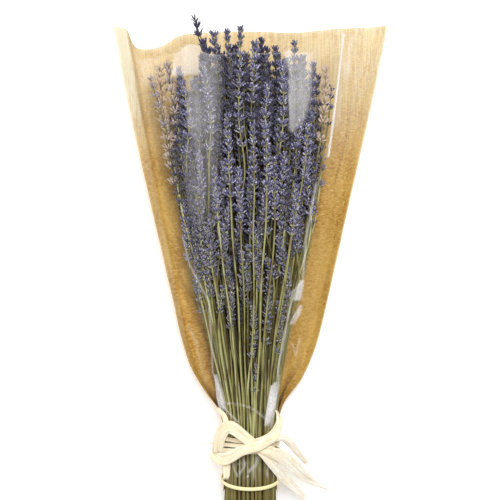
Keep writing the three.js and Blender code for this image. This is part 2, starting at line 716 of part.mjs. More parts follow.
// A ring round the neck: a small closed profile turned on the bunch's axis and pressed oval.
function neckRing({ y, width, thickness, tilt, segments }) {
  const inner = PAPER_MARGIN + GAP;
  const radius = (NECK.halfWidth + inner) / Math.cos(Math.PI / segments);
  const lean = THREE.MathUtils.degToRad(tilt);
  const depth = ((NECK.halfDepth + inner + (width / 2) * Math.abs(Math.sin(lean))) / Math.cos(lean))
    / Math.cos(Math.PI / segments);
  const half = width / 2;
  const edge = half * RING_EDGE;
  const profile = [[0, -half], [thickness, -edge], [thickness, edge], [0, half], [0, -half]];
  const geometry = new THREE.LatheGeometry(
    profile.map(([out, up]) => new THREE.Vector2(radius + out, up)), segments);
  geometry.scale(1, 1, (depth + thickness) / (radius + thickness));
  geometry.rotateX(lean);
  geometry.translate(NECK.middle, y, NECK.height);
  return geometry;
}

// A flat ribbon of raffia along a run of points, tapering towards its end.
function ribbonGeometry({ points, width, steps, taper }) {
  const curve = new THREE.CatmullRomCurve3(points.map((point) => new THREE.Vector3(...point)));
  const geometry = new THREE.BoxGeometry(1, steps, 1, 1, steps, 1);
  const position = geometry.attributes.position;
  const up = new THREE.Vector3(0, 0, 1);
  for (let index = 0; index < position.count; index += 1) {
    const along = clamp(position.getY(index) / steps + 0.5, 0, 1);
    const centre = curve.getPoint(along);
    const side = curve.getTangent(along).cross(up).normalize();
    const normal = side.clone().cross(curve.getTangent(along)).normalize();
    const spread = width * lerp(1, taper, smoothstep(along, TAPER_FROM, 1));
    centre.addScaledVector(side, position.getX(index) * spread);
    centre.addScaledVector(normal, position.getZ(index) * RAFFIA_THICKNESS);
    position.setXYZ(index, centre.x, centre.y, centre.z);
  }
  return geometry;
}

function knotGeometry() {
  const geometry = new THREE.SphereGeometry(1, 8, 4);
  geometry.scale(KNOT.halfWidth, KNOT.halfLength, KNOT.halfHeight);
  geometry.translate(KNOT.x, KNOT.y, NECK.height + NECK.halfDepth + KNOT.aboveStems);
  return geometry;
}

function raffiaTie() {
  const rings = RAFFIA_RINGS.map((ring) => neckRing({ ...ring, thickness: RAFFIA_THICKNESS, segments: 18 }));
  const ribbons = RIBBONS.map((ribbon) => ribbonGeometry(ribbon));
  return joined([...rings, knotGeometry(), ...ribbons]);
}

function elasticBand() {
  return neckRing({ ...BAND, segments: 24 });
}

// ---- The bunch ----------------------------------------------------------------------------------

function pieceMesh(name, geometry, colour, roughness, extra = {}) {
  const material = new THREE.MeshStandardMaterial({ color: colour, roughness, metalness: 0, ...extra });
  const mesh = new THREE.Mesh(geometry, material);
  mesh.name = name;
  return mesh;
}

function spikeMeshes(plants) {
  const solidOf = (index) => spikeGeometry(plants, plants[index], index);
  const { pairs, singles } = pairUp(plants);
  const geometries = [
    ...singles.map((index) => solidOf(index)),
    ...pairs.map((pair) => joined([...pair.members.map(solidOf), caughtFloret(pair)])),
  ];
  return geometries.map((geometry, index) => pieceMesh(
    `spikes_${String(index + 1).padStart(2, '0')}`, geometry, COLOURS.spike, 0.9));
}

function lavenderBunch() {
  const plants = layOutPlants();
  const stems = joined([pressedStems(), ...plants.map(stemGeometry)]);
  const bunch = new THREE.Group();
  bunch.add(pieceMesh('lavender_stems', stems, COLOURS.stem, 0.8));
  bunch.add(...spikeMeshes(plants));
  bunch.add(pieceMesh('kraft_paper', kraftPaper(), COLOURS.paper, 0.85));
  bunch.add(pieceMesh('clear_film', clearFilm(), COLOURS.film, 0.15, { transparent: true, opacity: 0.3 }));
  bunch.add(pieceMesh('raffia_tie', raffiaTie(), COLOURS.raffia, 0.8));
  bunch.add(pieceMesh('elastic_band', elasticBand(), COLOURS.band, 0.5));
  return bunch;
}

// The origin is the middle of the bunch's footprint, on the surface it lies on.
function standAtOrigin(group) {
  const box = new THREE.Box3().setFromObject(group);
  group.position.set(-(box.min.x + box.max.x) / 2, -(box.min.y + box.max.y) / 2, -box.min.z);
  return group;
}

const lavender = standAtOrigin(lavenderBunch());

export default lavender;
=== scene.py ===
"""A bunch of dried lavender in a tapered sleeve of kraft paper and clear film, tied with raffia.

It lies on its back along +Y, flowers away from the cut stems, and the camera looks straight down.
Sizes are millimetres, and heights along the bunch count from the middle of the tie.
"""
import math
from itertools import combinations

import bpy
import numpy as np
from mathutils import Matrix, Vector, noise


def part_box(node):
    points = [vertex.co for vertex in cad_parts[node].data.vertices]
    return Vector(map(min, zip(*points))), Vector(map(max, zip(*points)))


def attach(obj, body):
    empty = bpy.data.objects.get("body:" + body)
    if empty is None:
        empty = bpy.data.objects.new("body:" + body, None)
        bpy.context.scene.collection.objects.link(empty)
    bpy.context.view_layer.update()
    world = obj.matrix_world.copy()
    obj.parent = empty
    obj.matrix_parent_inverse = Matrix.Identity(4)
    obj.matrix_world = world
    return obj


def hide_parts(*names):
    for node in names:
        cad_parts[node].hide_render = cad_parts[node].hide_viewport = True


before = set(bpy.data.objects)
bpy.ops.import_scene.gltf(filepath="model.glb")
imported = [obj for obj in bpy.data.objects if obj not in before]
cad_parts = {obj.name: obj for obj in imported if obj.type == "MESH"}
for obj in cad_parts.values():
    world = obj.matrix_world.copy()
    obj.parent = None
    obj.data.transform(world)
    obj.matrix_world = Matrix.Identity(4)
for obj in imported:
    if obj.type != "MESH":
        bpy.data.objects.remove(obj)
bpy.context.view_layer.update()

MM = 0.001
SEED = 20
PAPER_BOTTOM = -40.0
paper_low, paper_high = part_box("kraft_paper")
TIE = np.array([(paper_low[0] + paper_high[0]) / 2, paper_low[1] - PAPER_BOTTOM * MM, paper_low[2]])


def in_frame(points):
    """Points in millimetres from the tie, as metres in the row frame."""
    return np.asarray(points, float) * MM + TIE


# ---- The bunch's driving sizes ------------------------------------------------------------------

GAP = 0.35
TIE_TOP = 22.0
FAN_CURVE = 1.25
CUT_END = -68.0
CUT_SPREAD = 5.0
STEM_RADIUS = 1.15
SPIKE_RADIUS = 6.3
SPIKE_TAPER = (0.35, 2.0)
FILL_SPIKES = 41
FILL_OVAL = {"across": 0.97, "up": 0.68, "lower": 0.28}
FILL_TIPS = (196, 352)
FILL_LENGTHS = (58, 84)
FILL_DROP = 16
SPIKE_NODES = 54

# Cross-section of the bunch: height, middle, half width, half depth, clearance under it.
BUNCH = np.array([
    (CUT_END, 0, 23.5, 16, 6), (TIE_TOP, 0.5, 23.5, 16, 6), (56, -0.5, 29, 19, 3.4),
    (102, -1.5, 38, 22.5, 2.2), (148, -2.5, 51, 25.5, 2), (194, -3.5, 62, 27.5, 2),
    (240, -3.5, 73, 29.5, 2), (286, -3.5, 83, 31.5, 2), (332, -7, 87, 32, 2), (384, -14, 86, 31, 2),
])
STATIONS = BUNCH[:, 0]

# Outline of the sleeve: height, half width of the paper, height of its raised sides.
SLEEVE = np.array([
    (-44, 27, 16), (20, 28, 15), (28, 30, 14), (38, 34, 13.5), (50, 41, 14), (72, 52.5, 15),
    (94, 60.5, 16), (132, 69.5, 17.5), (182, 81, 19), (288, 104.5, 22), (372, 123, 24),
])

# Heads that show at the front: base x and height, tip x and height, and share of the full width.
FRONT_SPIKES = [
    (-30.8, 318, -46, 378, 0.72), (-29, 293, -33, 363, 1), (-15.4, 281, -22, 364, 0.85),
    (-1.7, 261, -7.2, 366, 0.85), (5.1, 284, 4.3, 353, 1), (10.3, 289, 11, 357, 1),
    (18.8, 236, 12, 317, 1), (25.7, 276, 18.8, 350, 1), (41.9, 286, 38, 355, 0.8),
    (29, 267, 27.4, 336, 1), (52, 248, 58, 337, 1), (58, 267, 66, 334, 0.8),
    (71, 281, 74, 319, 0.7), (-77, 280, -87, 325, 0.7), (-75, 270, -79.6, 334, 0.8),
    (-67.6, 267, -70, 336, 0.85), (-54.8, 256, -61.6, 319, 1), (-46, 258, -49.6, 322, 1),
    (-34, 258, -41, 334, 1), (-20.5, 217, -27.4, 291, 1), (41.9, 235, 46.2, 288, 1),
    (16.3, 210, 5.1, 256, 1), (-5, 203, -8.6, 259, 1), (-42.8, 186, -51.3, 259, 1),
    (-31.7, 194, -37.6, 251, 1), (32.5, 194, 34.2, 259, 1), (46.2, 203, 51.3, 260, 1),
    (-26.5, 166, -29, 217, 1), (-11, 145, -10.3, 212, 1), (0.9, 163, 1.7, 218, 1),
    (18, 143, 13.7, 208, 1), (19.7, 147, 24.8, 201, 0.9), (42.8, 173, 45.3, 224, 1),
    (-47, 163, -57.3, 217, 1), (-13.7, 182, -18, 244, 1), (24.8, 186, 22.2, 247, 1),
    (9.5, 137, 10.4, 180, 0.9), (-3.5, 109, -5.2, 174, 1), (29.4, 130, 36.3, 189, 1),
    (-36.3, 131, -42.4, 176, 1), (-28.6, 118, -30.3, 145, 0.7), (-11.2, 104, -18.2, 146, 0.75),
    (0.9, 80, 4.3, 128, 0.85), (6.9, 91, 13, 132, 0.85), (19, 82, 28, 132, 0.7),
    (1.7, 49, 9.5, 77, 0.5), (-40.7, 134, -51, 160, 0.6),
]


def number_source(seed):
    """Seeded numbers from 0 to 1, the same as the solids are placed with."""
    state = seed
    while True:
        state = (state * 1664525 + 1013904223) % 4294967296
        yield state / 4294967296


def between(low, high, share):
    return low + (high - low) * share


def smooth(value, low, high):
    """0 at low and 1 at high, eased at both ends."""
    share = np.clip((np.asarray(value, float) - low) / (high - low), 0, 1)
    return share * share * (3 - 2 * share)


def bell(value, middle, width):
    return np.exp(-(((np.asarray(value, float) - middle) / width) ** 2))


def split(values):
    """The last axis of an array as separate arrays."""
    return np.moveaxis(values, -1, 0)


def unit(vectors):
    return vectors / np.linalg.norm(vectors, axis=-1)[..., None]


class Run:
    """A smooth run of values through the rows of a table."""

    def __init__(self, heights, values):
        self.heights, self.values = np.asarray(heights, float), np.asarray(values, float)
        self.flat = (1,) * (self.values.ndim - 1)
        slopes = np.diff(self.values, axis=0) / np.diff(self.heights).reshape(-1, *self.flat)
        self.slopes = np.concatenate([slopes[:1], (slopes[1:] + slopes[:-1]) / 2, slopes[-1:]])

    def __call__(self, height):
        height = np.clip(np.asarray(height, float), self.heights[0], self.heights[-1])
        low = np.clip(np.searchsorted(self.heights, height, side="right") - 1, 0, len(self.heights) - 2)
        span = self.heights[low + 1] - self.heights[low]
        t = ((height - self.heights[low]) / span).reshape(height.shape + self.flat)
        bend = t * (1 - t) * span.reshape(t.shape)
        start, end = self.values[low], self.values[low + 1]
        return start + (end - start) * (t * t * (3 - 2 * t)) + bend * (
            self.slopes[low] * (1 - t) - self.slopes[low + 1] * t)


def section_table(height):
    """Middle, half width, half depth and centre height of the bunch, straight between stations."""
    middle, half_width, half_depth, under = (np.interp(height, STATIONS, column) for column in BUNCH[:, 1:].T)
    return middle, half_width, half_depth, under + half_depth


section_run = Run(STATIONS, np.column_stack([BUNCH[:, 1:4], BUNCH[:, 4] + BUNCH[:, 3]]))
sleeve_run = Run(SLEEVE[:, 0], SLEEVE[:, 1:])
NECK_MIDDLE, NECK_WIDTH, NECK_DEPTH, NECK_HEIGHT = (float(value) for value in section_table(0))


# ---- Where each stem runs: the same rules as place the solids -----------------------------------

LEVEL_SHARES = (0, 0.33, 0.67)
LAYOUT_ROUNDS = 500
SETTLING_ROUNDS = 150
PUSH = 0.35
PULL = 0.06
STRAIGHTEN = 0.12
LEVEL_SPAN = 8
SIDE_LIMIT = 0.96
FRONT_DEPTHS = (0.15, 0.95)


def front_rows():
    tips = [row[3] for row in FRONT_SPIKES]
    for base_x, base, tip_x, tip, slim in FRONT_SPIKES:
        middle, half_width, _, _ = section_table(base)
        across = np.clip((base_x - middle) / (half_width - SPIKE_RADIUS), -SIDE_LIMIT, SIDE_LIMIT)
        forward = between(*FRONT_DEPTHS, (max(tips) - tip) / (max(tips) - min(tips)))
        up = math.sqrt(1 - across * across) * forward
        yield base_x, base, tip_x, tip, SPIKE_RADIUS * slim, 1, across, up


def fill_rows():
    draw = number_source(SEED)
    golden_angle = math.pi * (3 - math.sqrt(5))
    for index in range(FILL_SPIKES):
        reach = math.sqrt((index + 0.5) / FILL_SPIKES)
        across = FILL_OVAL["across"] * reach * math.cos(index * golden_angle)
        up = FILL_OVAL["up"] * reach * math.sin(index * golden_angle) - FILL_OVAL["lower"]
        tip = between(*FILL_TIPS, next(draw)) - FILL_DROP * abs(across)
        base = tip - between(*FILL_LENGTHS, next(draw))
        yield 0, base, 0, tip, SPIKE_RADIUS * between(0.85, 1, next(draw)), 0, across, up


class Plants:
    """All stems with their heads, as arrays with one entry each."""

    def __init__(self):
        rows = [*front_rows(), *fill_rows()]
        (self.base_x, self.base, self.tip_x, self.tip, self.radius,
         self.front, self.across, self.up) = np.array(rows, float).T.copy()
        self.count = len(rows)
        self.wishes = np.stack([self.wish(height) for height in STATIONS], axis=1)
        self.route = self.wishes.copy()
        self.prepare_levels()
        for step in range(LAYOUT_ROUNDS):
            self.ease(np.clip((LAYOUT_ROUNDS - SETTLING_ROUNDS - step) / SETTLING_ROUNDS, 0, 1))
            self.part()
            self.keep_inside()

    def reach(self, height):
        """How far each plant reaches from its own middle at that height."""
        share = (height - self.base) / (self.tip - self.base)
        head = self.radius * np.minimum(1, SPIKE_TAPER[0] + SPIKE_TAPER[1] * (1 - share))
        return np.where(height > self.tip, 0, np.where(height < self.base, STEM_RADIUS, head))

    def widest(self, height):
        return np.max([self.reach(height + step) for step in (-LEVEL_SPAN, 0, LEVEL_SPAN)], axis=0)

    def in_bunch(self, height):
        """Where each plant would be in the open bunch."""
        middle, half_width, half_depth, centre = section_table(height)
        room_x, room_z = half_width - self.radius, half_depth - self.radius
        share = np.minimum((height - self.base) / (self.tip - self.base), 1)
        front_x = between(self.base_x, self.tip_x, share)
        side = np.minimum(SIDE_LIMIT, np.abs((front_x - middle) / room_x))
        x = np.where(self.front > 0, front_x, middle + room_x * self.across)
        z = centre + room_z * np.where(self.front > 0, np.sqrt(1 - side * side), self.up)
        return np.stack([x, z], axis=-1)

    def wish(self, height):
        """Where each plant would be, drawn together towards the neck."""
        neck = np.stack([NECK_MIDDLE + (NECK_WIDTH - STEM_RADIUS) * self.across,
                         NECK_HEIGHT + (NECK_DEPTH - STEM_RADIUS) * self.up], axis=-1)
        if height <= TIE_TOP:
            return neck
        share = np.minimum((height - TIE_TOP) / (self.base - TIE_TOP), 1)[:, None] ** FAN_CURVE
        return between(neck, self.in_bunch(np.maximum(height, self.base)), share)

    def prepare_levels(self):
        lows, shares = np.meshgrid(np.arange(len(STATIONS) - 1), LEVEL_SHARES, indexing="ij")
        self.low, self.share = lows.ravel(), shares.ravel()[:, None, None]
        heights = between(STATIONS[self.low], STATIONS[self.low + 1], shares.ravel())
        reaches = np.stack([self.widest(height) for height in heights])
        own, other = reaches[:, :, None], reaches[:, None, :]
        self.sums = own + other
        self.meets = (own > 0) & (other > 0) & ~np.eye(self.count, dtype=bool)
        self.yields = np.where(self.meets, other / np.maximum(self.sums, 1e-9), 0)
        self.room = np.stack([np.maximum(self.widest(h), STEM_RADIUS) for h in STATIONS], axis=1)

    def ease(self, strength):
        """Draws the plants towards their wishes, and straightens them."""
        before = self.route.copy()
        self.route += (self.wishes - self.route) * PULL * strength
        straight = (before[:, :-2] + before[:, 2:]) / 2
        self.route[:, 1:-1] += (straight - before[:, 1:-1]) * STRAIGHTEN * strength

    def part(self):
        """Moves the plants apart at every level, all of them at once."""
        route = self.route.transpose(1, 0, 2)
        places = route[self.low] * (1 - self.share) + route[self.low + 1] * self.share
        away = places[:, None, :, :] - places[:, :, None, :]
        distance = np.hypot(away[..., 0], away[..., 1]) + 1e-6
        overlap = np.where(self.meets, np.maximum(self.sums + GAP - distance, 0), 0)
        moves = (-(self.yields * overlap * PUSH / distance)[..., None] * away).sum(axis=2)
        for level, low in enumerate(self.low):
            share = self.share[level, 0, 0]
            self.route[:, low] += moves[level] * (1 - share)
            self.route[:, low + 1] += moves[level] * share

    def keep_inside(self):
        middle = np.stack([BUNCH[:, 1], BUNCH[:, 4] + BUNCH[:, 3]], axis=-1)
        half = BUNCH[:, 2:4] - self.room[..., None]
        out = np.hypot(*((self.route - middle) / half).transpose(2, 0, 1))[..., None]
        self.route = np.where(out > 1, middle + (self.route - middle) / out, self.route)

    def place(self, plant, height):
        """Middle of a plant at that height, straight between the stations as in the solids."""
        return np.stack([np.interp(height, STATIONS, self.route[plant, :, axis]) for axis in (0, 1)], axis=-1)


CATCH = {"above_base": 6, "below_tip": 14, "step": 3, "farthest": 16}


def node_members(plants):
    """The plants in each node of flower heads: single ones first, then the pairs that lean together."""
    meetings = []
    for first, second in combinations(range(plants.count), 2):
        low = max(plants.base[first], plants.base[second]) + CATCH["above_base"]
        high = min(plants.tip[first], plants.tip[second]) - CATCH["below_tip"]
        if high < low:
            continue
        heights = np.arange(low, high + 1e-9, CATCH["step"])
        away = plants.place(first, heights) - plants.place(second, heights)
        nearest = np.hypot(away[:, 0], away[:, 1]).min()
        if nearest < CATCH["farthest"]:
            meetings.append((nearest, first, second))
    pairs, taken = [], set()
    for _, *pair in sorted(meetings, key=lambda meeting: meeting[0]):
        if len(pairs) < plants.count - SPIKE_NODES and taken.isdisjoint(pair):
            pairs.append(tuple(pair))
            taken.update(pair)
    return [(index,) for index in range(plants.count) if index not in taken] + pairs


plants = Plants()
members = node_members(plants)


# ---- Node graphs: expressions make the Math nodes, add() makes any other ------------------------

class Value:
    """A socket that takes part in maths written as a Python expression."""

    def __init__(self, graph, socket):
        self.graph, self.socket = graph, socket

    def __getitem__(self, name):
        sockets = self.socket.node.outputs
        return Value(self.graph, next(s for s in sockets if s.name == name and s.enabled))

    def maths(self, operation, *operands, clamp=False):
        inputs = dict(enumerate(operands))
        return self.graph.add("ShaderNodeMath", inputs, operation=operation, use_clamp=clamp)

    def __add__(self, other):
        return self.maths("ADD", self, other)

    def __sub__(self, other):
        return self.maths("SUBTRACT", self, other)

    def __rsub__(self, other):
        return self.maths("SUBTRACT", other, self)

    def __mul__(self, other):
        return self.maths("MULTIPLY", self, other)

    def __truediv__(self, other):
        return self.maths("DIVIDE", self, other)

    __radd__, __rmul__ = __add__, __mul__

    def clamped(self):
        return self.maths("ADD", self, 0.0, clamp=True)

    def ranged(self, low, high, to_low=0.0, to_high=1.0):
        """The value's way from low to high, eased, as a value from to_low to to_high."""
        return self.graph.add("ShaderNodeMapRange", {
            "Value": self, "From Min": low, "From Max": high, "To Min": to_low, "To Max": to_high,
        }, interpolation_type="SMOOTHSTEP")


class Graph:
    """A node tree being built."""

    def __init__(self, tree):
        self.tree = tree

    def add(self, kind, inputs=(), stops=(), **settings):
        """A node with its settings, ramp stops and inputs, given by name or number."""
        node = self.tree.nodes.new(kind)
        for name, value in settings.items():
            setattr(node, name, value)
        for index, (position, colour) in enumerate(stops):
            while len(node.color_ramp.elements) <= index:
                node.color_ramp.elements.new(position)
            node.color_ramp.elements[index].position = position
            node.color_ramp.elements[index].color = srgb(*colour)
        for key, value in dict(inputs).items():
            by_name = [socket for socket in node.inputs if socket.name == key and socket.enabled]
            socket = node.inputs[key] if isinstance(key, int) else by_name[0]
            if isinstance(value, Value):
                self.tree.links.new(value.socket, socket)
            else:
                socket.default_value = value
        live = [socket for socket in node.outputs if socket.enabled]
        return Value(self, live[0]) if live else node

    def layered(self, colour, *layers):
        """A colour with others over it, each with its mask."""
        for mask, other in layers:
            other = other if isinstance(other, Value) else srgb(*other)
            colour = self.add("ShaderNodeMix", {"Factor": mask, "A": colour, "B": other}, data_type="RGBA")
        return colour

    def attribute(self, name):
        return self.add("ShaderNodeAttribute", attribute_name=name)["Fac"]

    def object_point(self, stretch=(1, 1, 1)):
        """Object coordinates in millimetres, stretched."""
        point = self.add("ShaderNodeTexCoord")["Object"]
        return self.add("ShaderNodeVectorMath", {0: point, 1: tuple(1000 * s for s in stretch)},
                        operation="MULTIPLY")

    def object_height(self):
        return self.add("ShaderNodeSeparateXYZ", {0: self.object_point()})["Y"]

    def grain(self, place, detail, scale=1.0, roughness=0.5, distortion=0.0):
        """Noise on stretched Object coordinates, or on a point that is given as a value."""
        return self.add("ShaderNodeTexNoise", {
            "Vector": place if isinstance(place, Value) else self.object_point(place), "Scale": scale,
            "Detail": detail, "Roughness": roughness, "Distortion": distortion,
        }, noise_dimensions="3D")["Fac"]

    def bump(self, height, strength, distance):
        return self.add("ShaderNodeBump", {"Height": height, "Strength": strength,
                                           "Distance": distance * MM})


def srgb(red, green, blue):
    """A colour read off in 0 to 255, as the renderer's linear colour."""
    parts = [c / 255 for c in (red, green, blue)]
    return (*[c / 12.92 if c <= 0.04045 else ((c + 0.055) / 1.055) ** 2.4 for c in parts], 1.0)


def new_finish(name):
    made = bpy.data.materials.new(name)
    made.use_nodes = True
    made.node_tree.nodes.clear()
    return made, Graph(made.node_tree)


def finish_of(name, build, **constants):
    """A material whose graph is built by a function that returns its changing inputs."""
    made, graph = new_finish(name)
    shader = graph.add("ShaderNodeBsdfPrincipled", {**constants, **build(graph)})
    graph.add("ShaderNodeOutputMaterial", {"Surface": shader})
    return made


# ---- Finishes -----------------------------------------------------------------------------------

EVEN = (1, 1, 1)  # for grain that isn't stretched


def dried_flower(graph):
    """Green at the floret's root, violet above, pale at the tip, partly a painted highlight, and varied from
    floret to floret, with painted shade and glints.
    """
    tint, worn = graph.attribute("tint"), graph.attribute("worn").clamped()
    # fine noise for the white specks: white hairs, and painted glints on them
    hairs_and_glints = graph.grain(EVEN, 1, scale=0.85)
    patch = graph.grain(EVEN, 2, scale=0.12)
    low = graph.object_height().ranged(90, -50, 0, 0.55)
    # the ramp's pale top end is partly the calyx rim's own colour, partly a painted highlight on the tips
    violet = graph.add("ShaderNodeValToRGB", {"Fac": graph.attribute("along")}, stops=[
        (0.0, (206, 204, 150)), (0.16, (176, 174, 132)), (0.36, (112, 107, 124)),
        (0.6, (114, 110, 160)), (0.84, (119, 116, 170)), (1.0, (212, 210, 230))])
    hair_and_glint_colour = graph.layered(srgb(238, 236, 246), (low * 1.6, (224, 224, 184)))
    colour = graph.layered(
        violet,
        (tint.ranged(0.6, 0.95, 0, 0.8), (166, 162, 178)),
        (tint.ranged(0.45, 0.05, 0, 0.6), (58, 52, 88)),
        # painted shade in the grooves between the calyx's ribs
        (graph.attribute("groove") * 0.75, (34, 29, 54)),
        (patch.ranged(0.5, 0.72, 0, 0.3), (124, 121, 140)),
        (worn, (212, 186, 152)),
        (tint.ranged(0.2, 0.7) * low, (130, 128, 102)),
        # white specks: hairs and painted glints, creamier on the low heads
        (hairs_and_glints.ranged(0.62, 0.67, 0, 0.95) * (1 - worn * 0.9), hair_and_glint_colour),
        # painted shade: florets inside the bunch and in the heads behind the front ones darker
        (graph.attribute("deep").clamped() * 0.78, (42, 41, 56)),
        # painted light: heads darker above the film's top edge, standing in for the film's reflection
        # lightening those below
        (graph.object_height().ranged(187, 194, 0, 0.4), (46, 40, 78)))
    return {"Base Color": colour, "Normal": graph.bump(graph.grain(EVEN, 2, scale=0.95), 0.5, 0.25)}


def dry_stalk(graph):
    """Olive, with pale streaks, brown blotches, a pale cut end and painted shade inside the bunch."""
    along = graph.attribute("along")
    fibre = graph.grain((3.2, 0.05, 3.2), 3)
    blotch = graph.grain((0.3, 0.04, 0.3), 2)
    olive = graph.add("ShaderNodeValToRGB", {"Fac": graph.attribute("tint")}, stops=[
        (0.0, (78, 68, 36)), (0.3, (116, 109, 57)), (0.66, (149, 146, 86)), (1.0, (190, 189, 138))])
    colour = graph.layered(
        olive,
        (fibre.ranged(0.42, 0.7, 0, 0.5), (184, 182, 136)),
        (blotch.ranged(0.48, 0.7, 0, 0.75), (96, 70, 40)),
        (along.ranged(80, 25, 0, 0.58), (96, 78, 18)),
        (along.ranged(0.9, 0.25), (206, 200, 150)),
        # painted shade: darker inside the bunch
        (graph.attribute("deep").clamped() * 0.8, (40, 36, 24)))
    return {"Base Color": colour, "Normal": graph.bump(fibre, 0.55, 0.3)}


def kraft(graph):
    """Brown paper with long fibres, cross threads and pulp spots, with painted light and painted shade over
    it.
    """
    light = graph.attribute("light")
    fibre = graph.grain((1.5, 0.16, 1.5), 4, roughness=0.6)
    weft = graph.grain((0.28, 1.0, 0.28), 3)
    cloud = graph.grain((0.05, 0.03, 0.05), 4)
    pulp = graph.grain((0.32, 0.6, 0.32), 4, roughness=0.6)
    streaks = graph.grain((0.9, 0.025, 0.9), 2)
    colour = graph.layered(
        srgb(188, 143, 66),
        (cloud.ranged(0.36, 0.66), (207, 167, 88)),
        (fibre.ranged(0.46, 0.68, 0, 0.4), (176, 130, 56)),
        (weft.ranged(0.5, 0.64, 0, 0.55), (222, 184, 106)),
        (pulp.ranged(0.5, 0.62, 0, 0.75) * cloud.ranged(0.62, 0.4, 0.35, 1), (160, 112, 44)),
        (pulp.ranged(0.46, 0.36, 0, 0.5), (226, 190, 114)),
        # painted light at the hem, right edge, right side, top and light folds, streaked
        ((light * streaks.ranged(0.36, 0.64, 0.72, 1.28)).clamped(), (227, 219, 192)),
        # painted shade in the pleats, along the hem's inner fold and in the dark folds
        (graph.attribute("shade").clamped(), (124, 88, 40)))
    return {"Base Color": colour, "Normal": graph.bump(fibre * 0.4 + weft * 0.3 + pulp * 0.6, 0.5, 0.35)}


def straw(graph):
    """Cream raffia with long creases and yellowed blotches, whiter where its tint says: random tone, and
    painted light towards the tails' ends.
    """
    tint = graph.attribute("tint")
    point = graph.add("ShaderNodeCombineXYZ", {
        "X": graph.attribute("across") * 7, "Y": graph.attribute("along") * 0.06, "Z": tint * 40})
    fibre = graph.grain(point, 3, roughness=0.6)
    blotch = graph.grain(EVEN, 2, scale=0.14)
    colour = graph.layered(
        srgb(242, 229, 200),
        # whiter by the tint: random tone, and painted light on the tails
        (tint, (255, 252, 242)),
        (fibre.ranged(0.48, 0.66, 0, 0.85), (214, 188, 136)),
        (blotch.ranged(0.56, 0.74, 0, 0.5), (236, 220, 160)))
    return {"Base Color": colour, "Normal": graph.bump(fibre, 0.6, 0.35)}


def rubber(graph):
    ribs = graph.grain((1.2, 5, 1.2), 2)
    colour = graph.layered(srgb(232, 222, 164), (ribs.ranged(0.4, 0.7), (246, 238, 196)))
    return {"Base Color": colour, "Normal": graph.bump(ribs, 0.3, 0.15)}


def clear_finish():
    """Film: clear, with whitish painted reflections and folds where the painted attribute says, and gloss
    from its shader.
    """
    made, graph = new_finish("clear film")
    streak = graph.grain((0.5, 0.02, 0.5), 3)
    crinkle = graph.grain((0.16, 0.05, 0.16), 3, distortion=0.4)
    reflection_unevenness = graph.grain((0.7, 0.5, 0.7), 3)
    normal = graph.bump(crinkle + streak * 0.4, 0.5, 1.2)
    gloss = graph.add("ShaderNodeBsdfPrincipled", {
        "Base Color": srgb(242, 238, 236), "Roughness": 0.16, "IOR": 1.5, "Normal": normal})
    facing = graph.add("ShaderNodeFresnel", {"IOR": 1.45, "Normal": normal})
    # painted reflection and whiter folds, made uneven by noise
    reflection_and_fold_white = graph.attribute("reflection_and_fold_white") * reflection_unevenness.ranged(0.3, 0.7, 0.85, 1.15)
    cover = (reflection_and_fold_white + facing.ranged(0.06, 0.8, 0.0, 0.03)).clamped()
    clear = graph.add("ShaderNodeBsdfTransparent", {"Color": (1, 1, 1, 1)})
    graph.add("ShaderNodeOutputMaterial", {
        "Surface": graph.add("ShaderNodeMixShader", {0: cover, 1: clear, 2: gloss})})
    return made


flower_finish = finish_of("dried flower", dried_flower, **{
    "Roughness": 0.85, "Specular IOR Level": 0.08, "Sheen Weight": 0.12})
stalk_finish = finish_of("dry stalk", dry_stalk, **{"Roughness": 0.55, "Specular IOR Level": 0.25})
kraft_finish = finish_of("kraft paper", kraft, **{"Roughness": 0.78, "Specular IOR Level": 0.12})
straw_finish = finish_of("raffia straw", straw, **{
    "Roughness": 0.62, "Specular IOR Level": 0.3, "Sheen Weight": 0.1})
rubber_finish = finish_of("elastic rubber", rubber, **{"Roughness": 0.55})
film_finish = clear_finish()


# ---- Making pieces ------------------------------------------------------------------------------

def placed(name, data):
    made = bpy.data.objects.new(name, data)
    bpy.context.scene.collection.objects.link(made)
    return made


def mesh_object(name, points, faces, edges=(), attributes=None):
    """An object at the origin from points in the row frame."""
    mesh = bpy.data.meshes.new(name)
    mesh.from_pydata([tuple(map(float, p)) for p in points], list(edges), list(faces))
    for key, values in (attributes or {}).items():
        values = np.asarray(values, float)
        kind, field = ("FLOAT_VECTOR", "vector") if values.ndim == 2 else ("FLOAT", "value")
        mesh.attributes.new(key, kind, "POINT").data.foreach_set(field, values.ravel())
    return placed(name, mesh)


def grown(name, source, tree, **sizes):
    """The plain mesh that a Geometry Nodes tree makes from a source object, smooth-shaded."""
    modifier = source.modifiers.new("grow", "NODES")
    modifier.node_group = tree
    for item in tree.interface.items_tree:
        if item.in_out == "INPUT" and item.name in sizes:
            modifier[item.identifier] = sizes[item.name]
    bpy.context.view_layer.update()
    view = bpy.context.evaluated_depsgraph_get()
    mesh = bpy.data.meshes.new_from_object(
        source.evaluated_get(view), preserve_all_data_layers=True, depsgraph=view)
    bpy.data.objects.remove(source, do_unlink=True)
    mesh.name = name
    mesh.polygons.foreach_set("use_smooth", [True] * len(mesh.polygons))
    return placed(name, mesh)


def new_tree(name, **sockets):
    """An empty Geometry Nodes tree whose inputs have a number, or the name of a kind of data-block."""
    tree = bpy.data.node_groups.new(name, "GeometryNodeTree")
    for way in ("INPUT", "OUTPUT"):
        tree.interface.new_socket("Geometry", in_out=way, socket_type="NodeSocketGeometry")
    for label, value in sockets.items():
        kind = value if isinstance(value, str) else type(value).__name__.capitalize()
        socket = tree.interface.new_socket(label, in_out="INPUT", socket_type="NodeSocket" + kind)
        if kind != value:
            socket.default_value = value
    graph = Graph(tree)
    return graph, graph.add("NodeGroupInput")


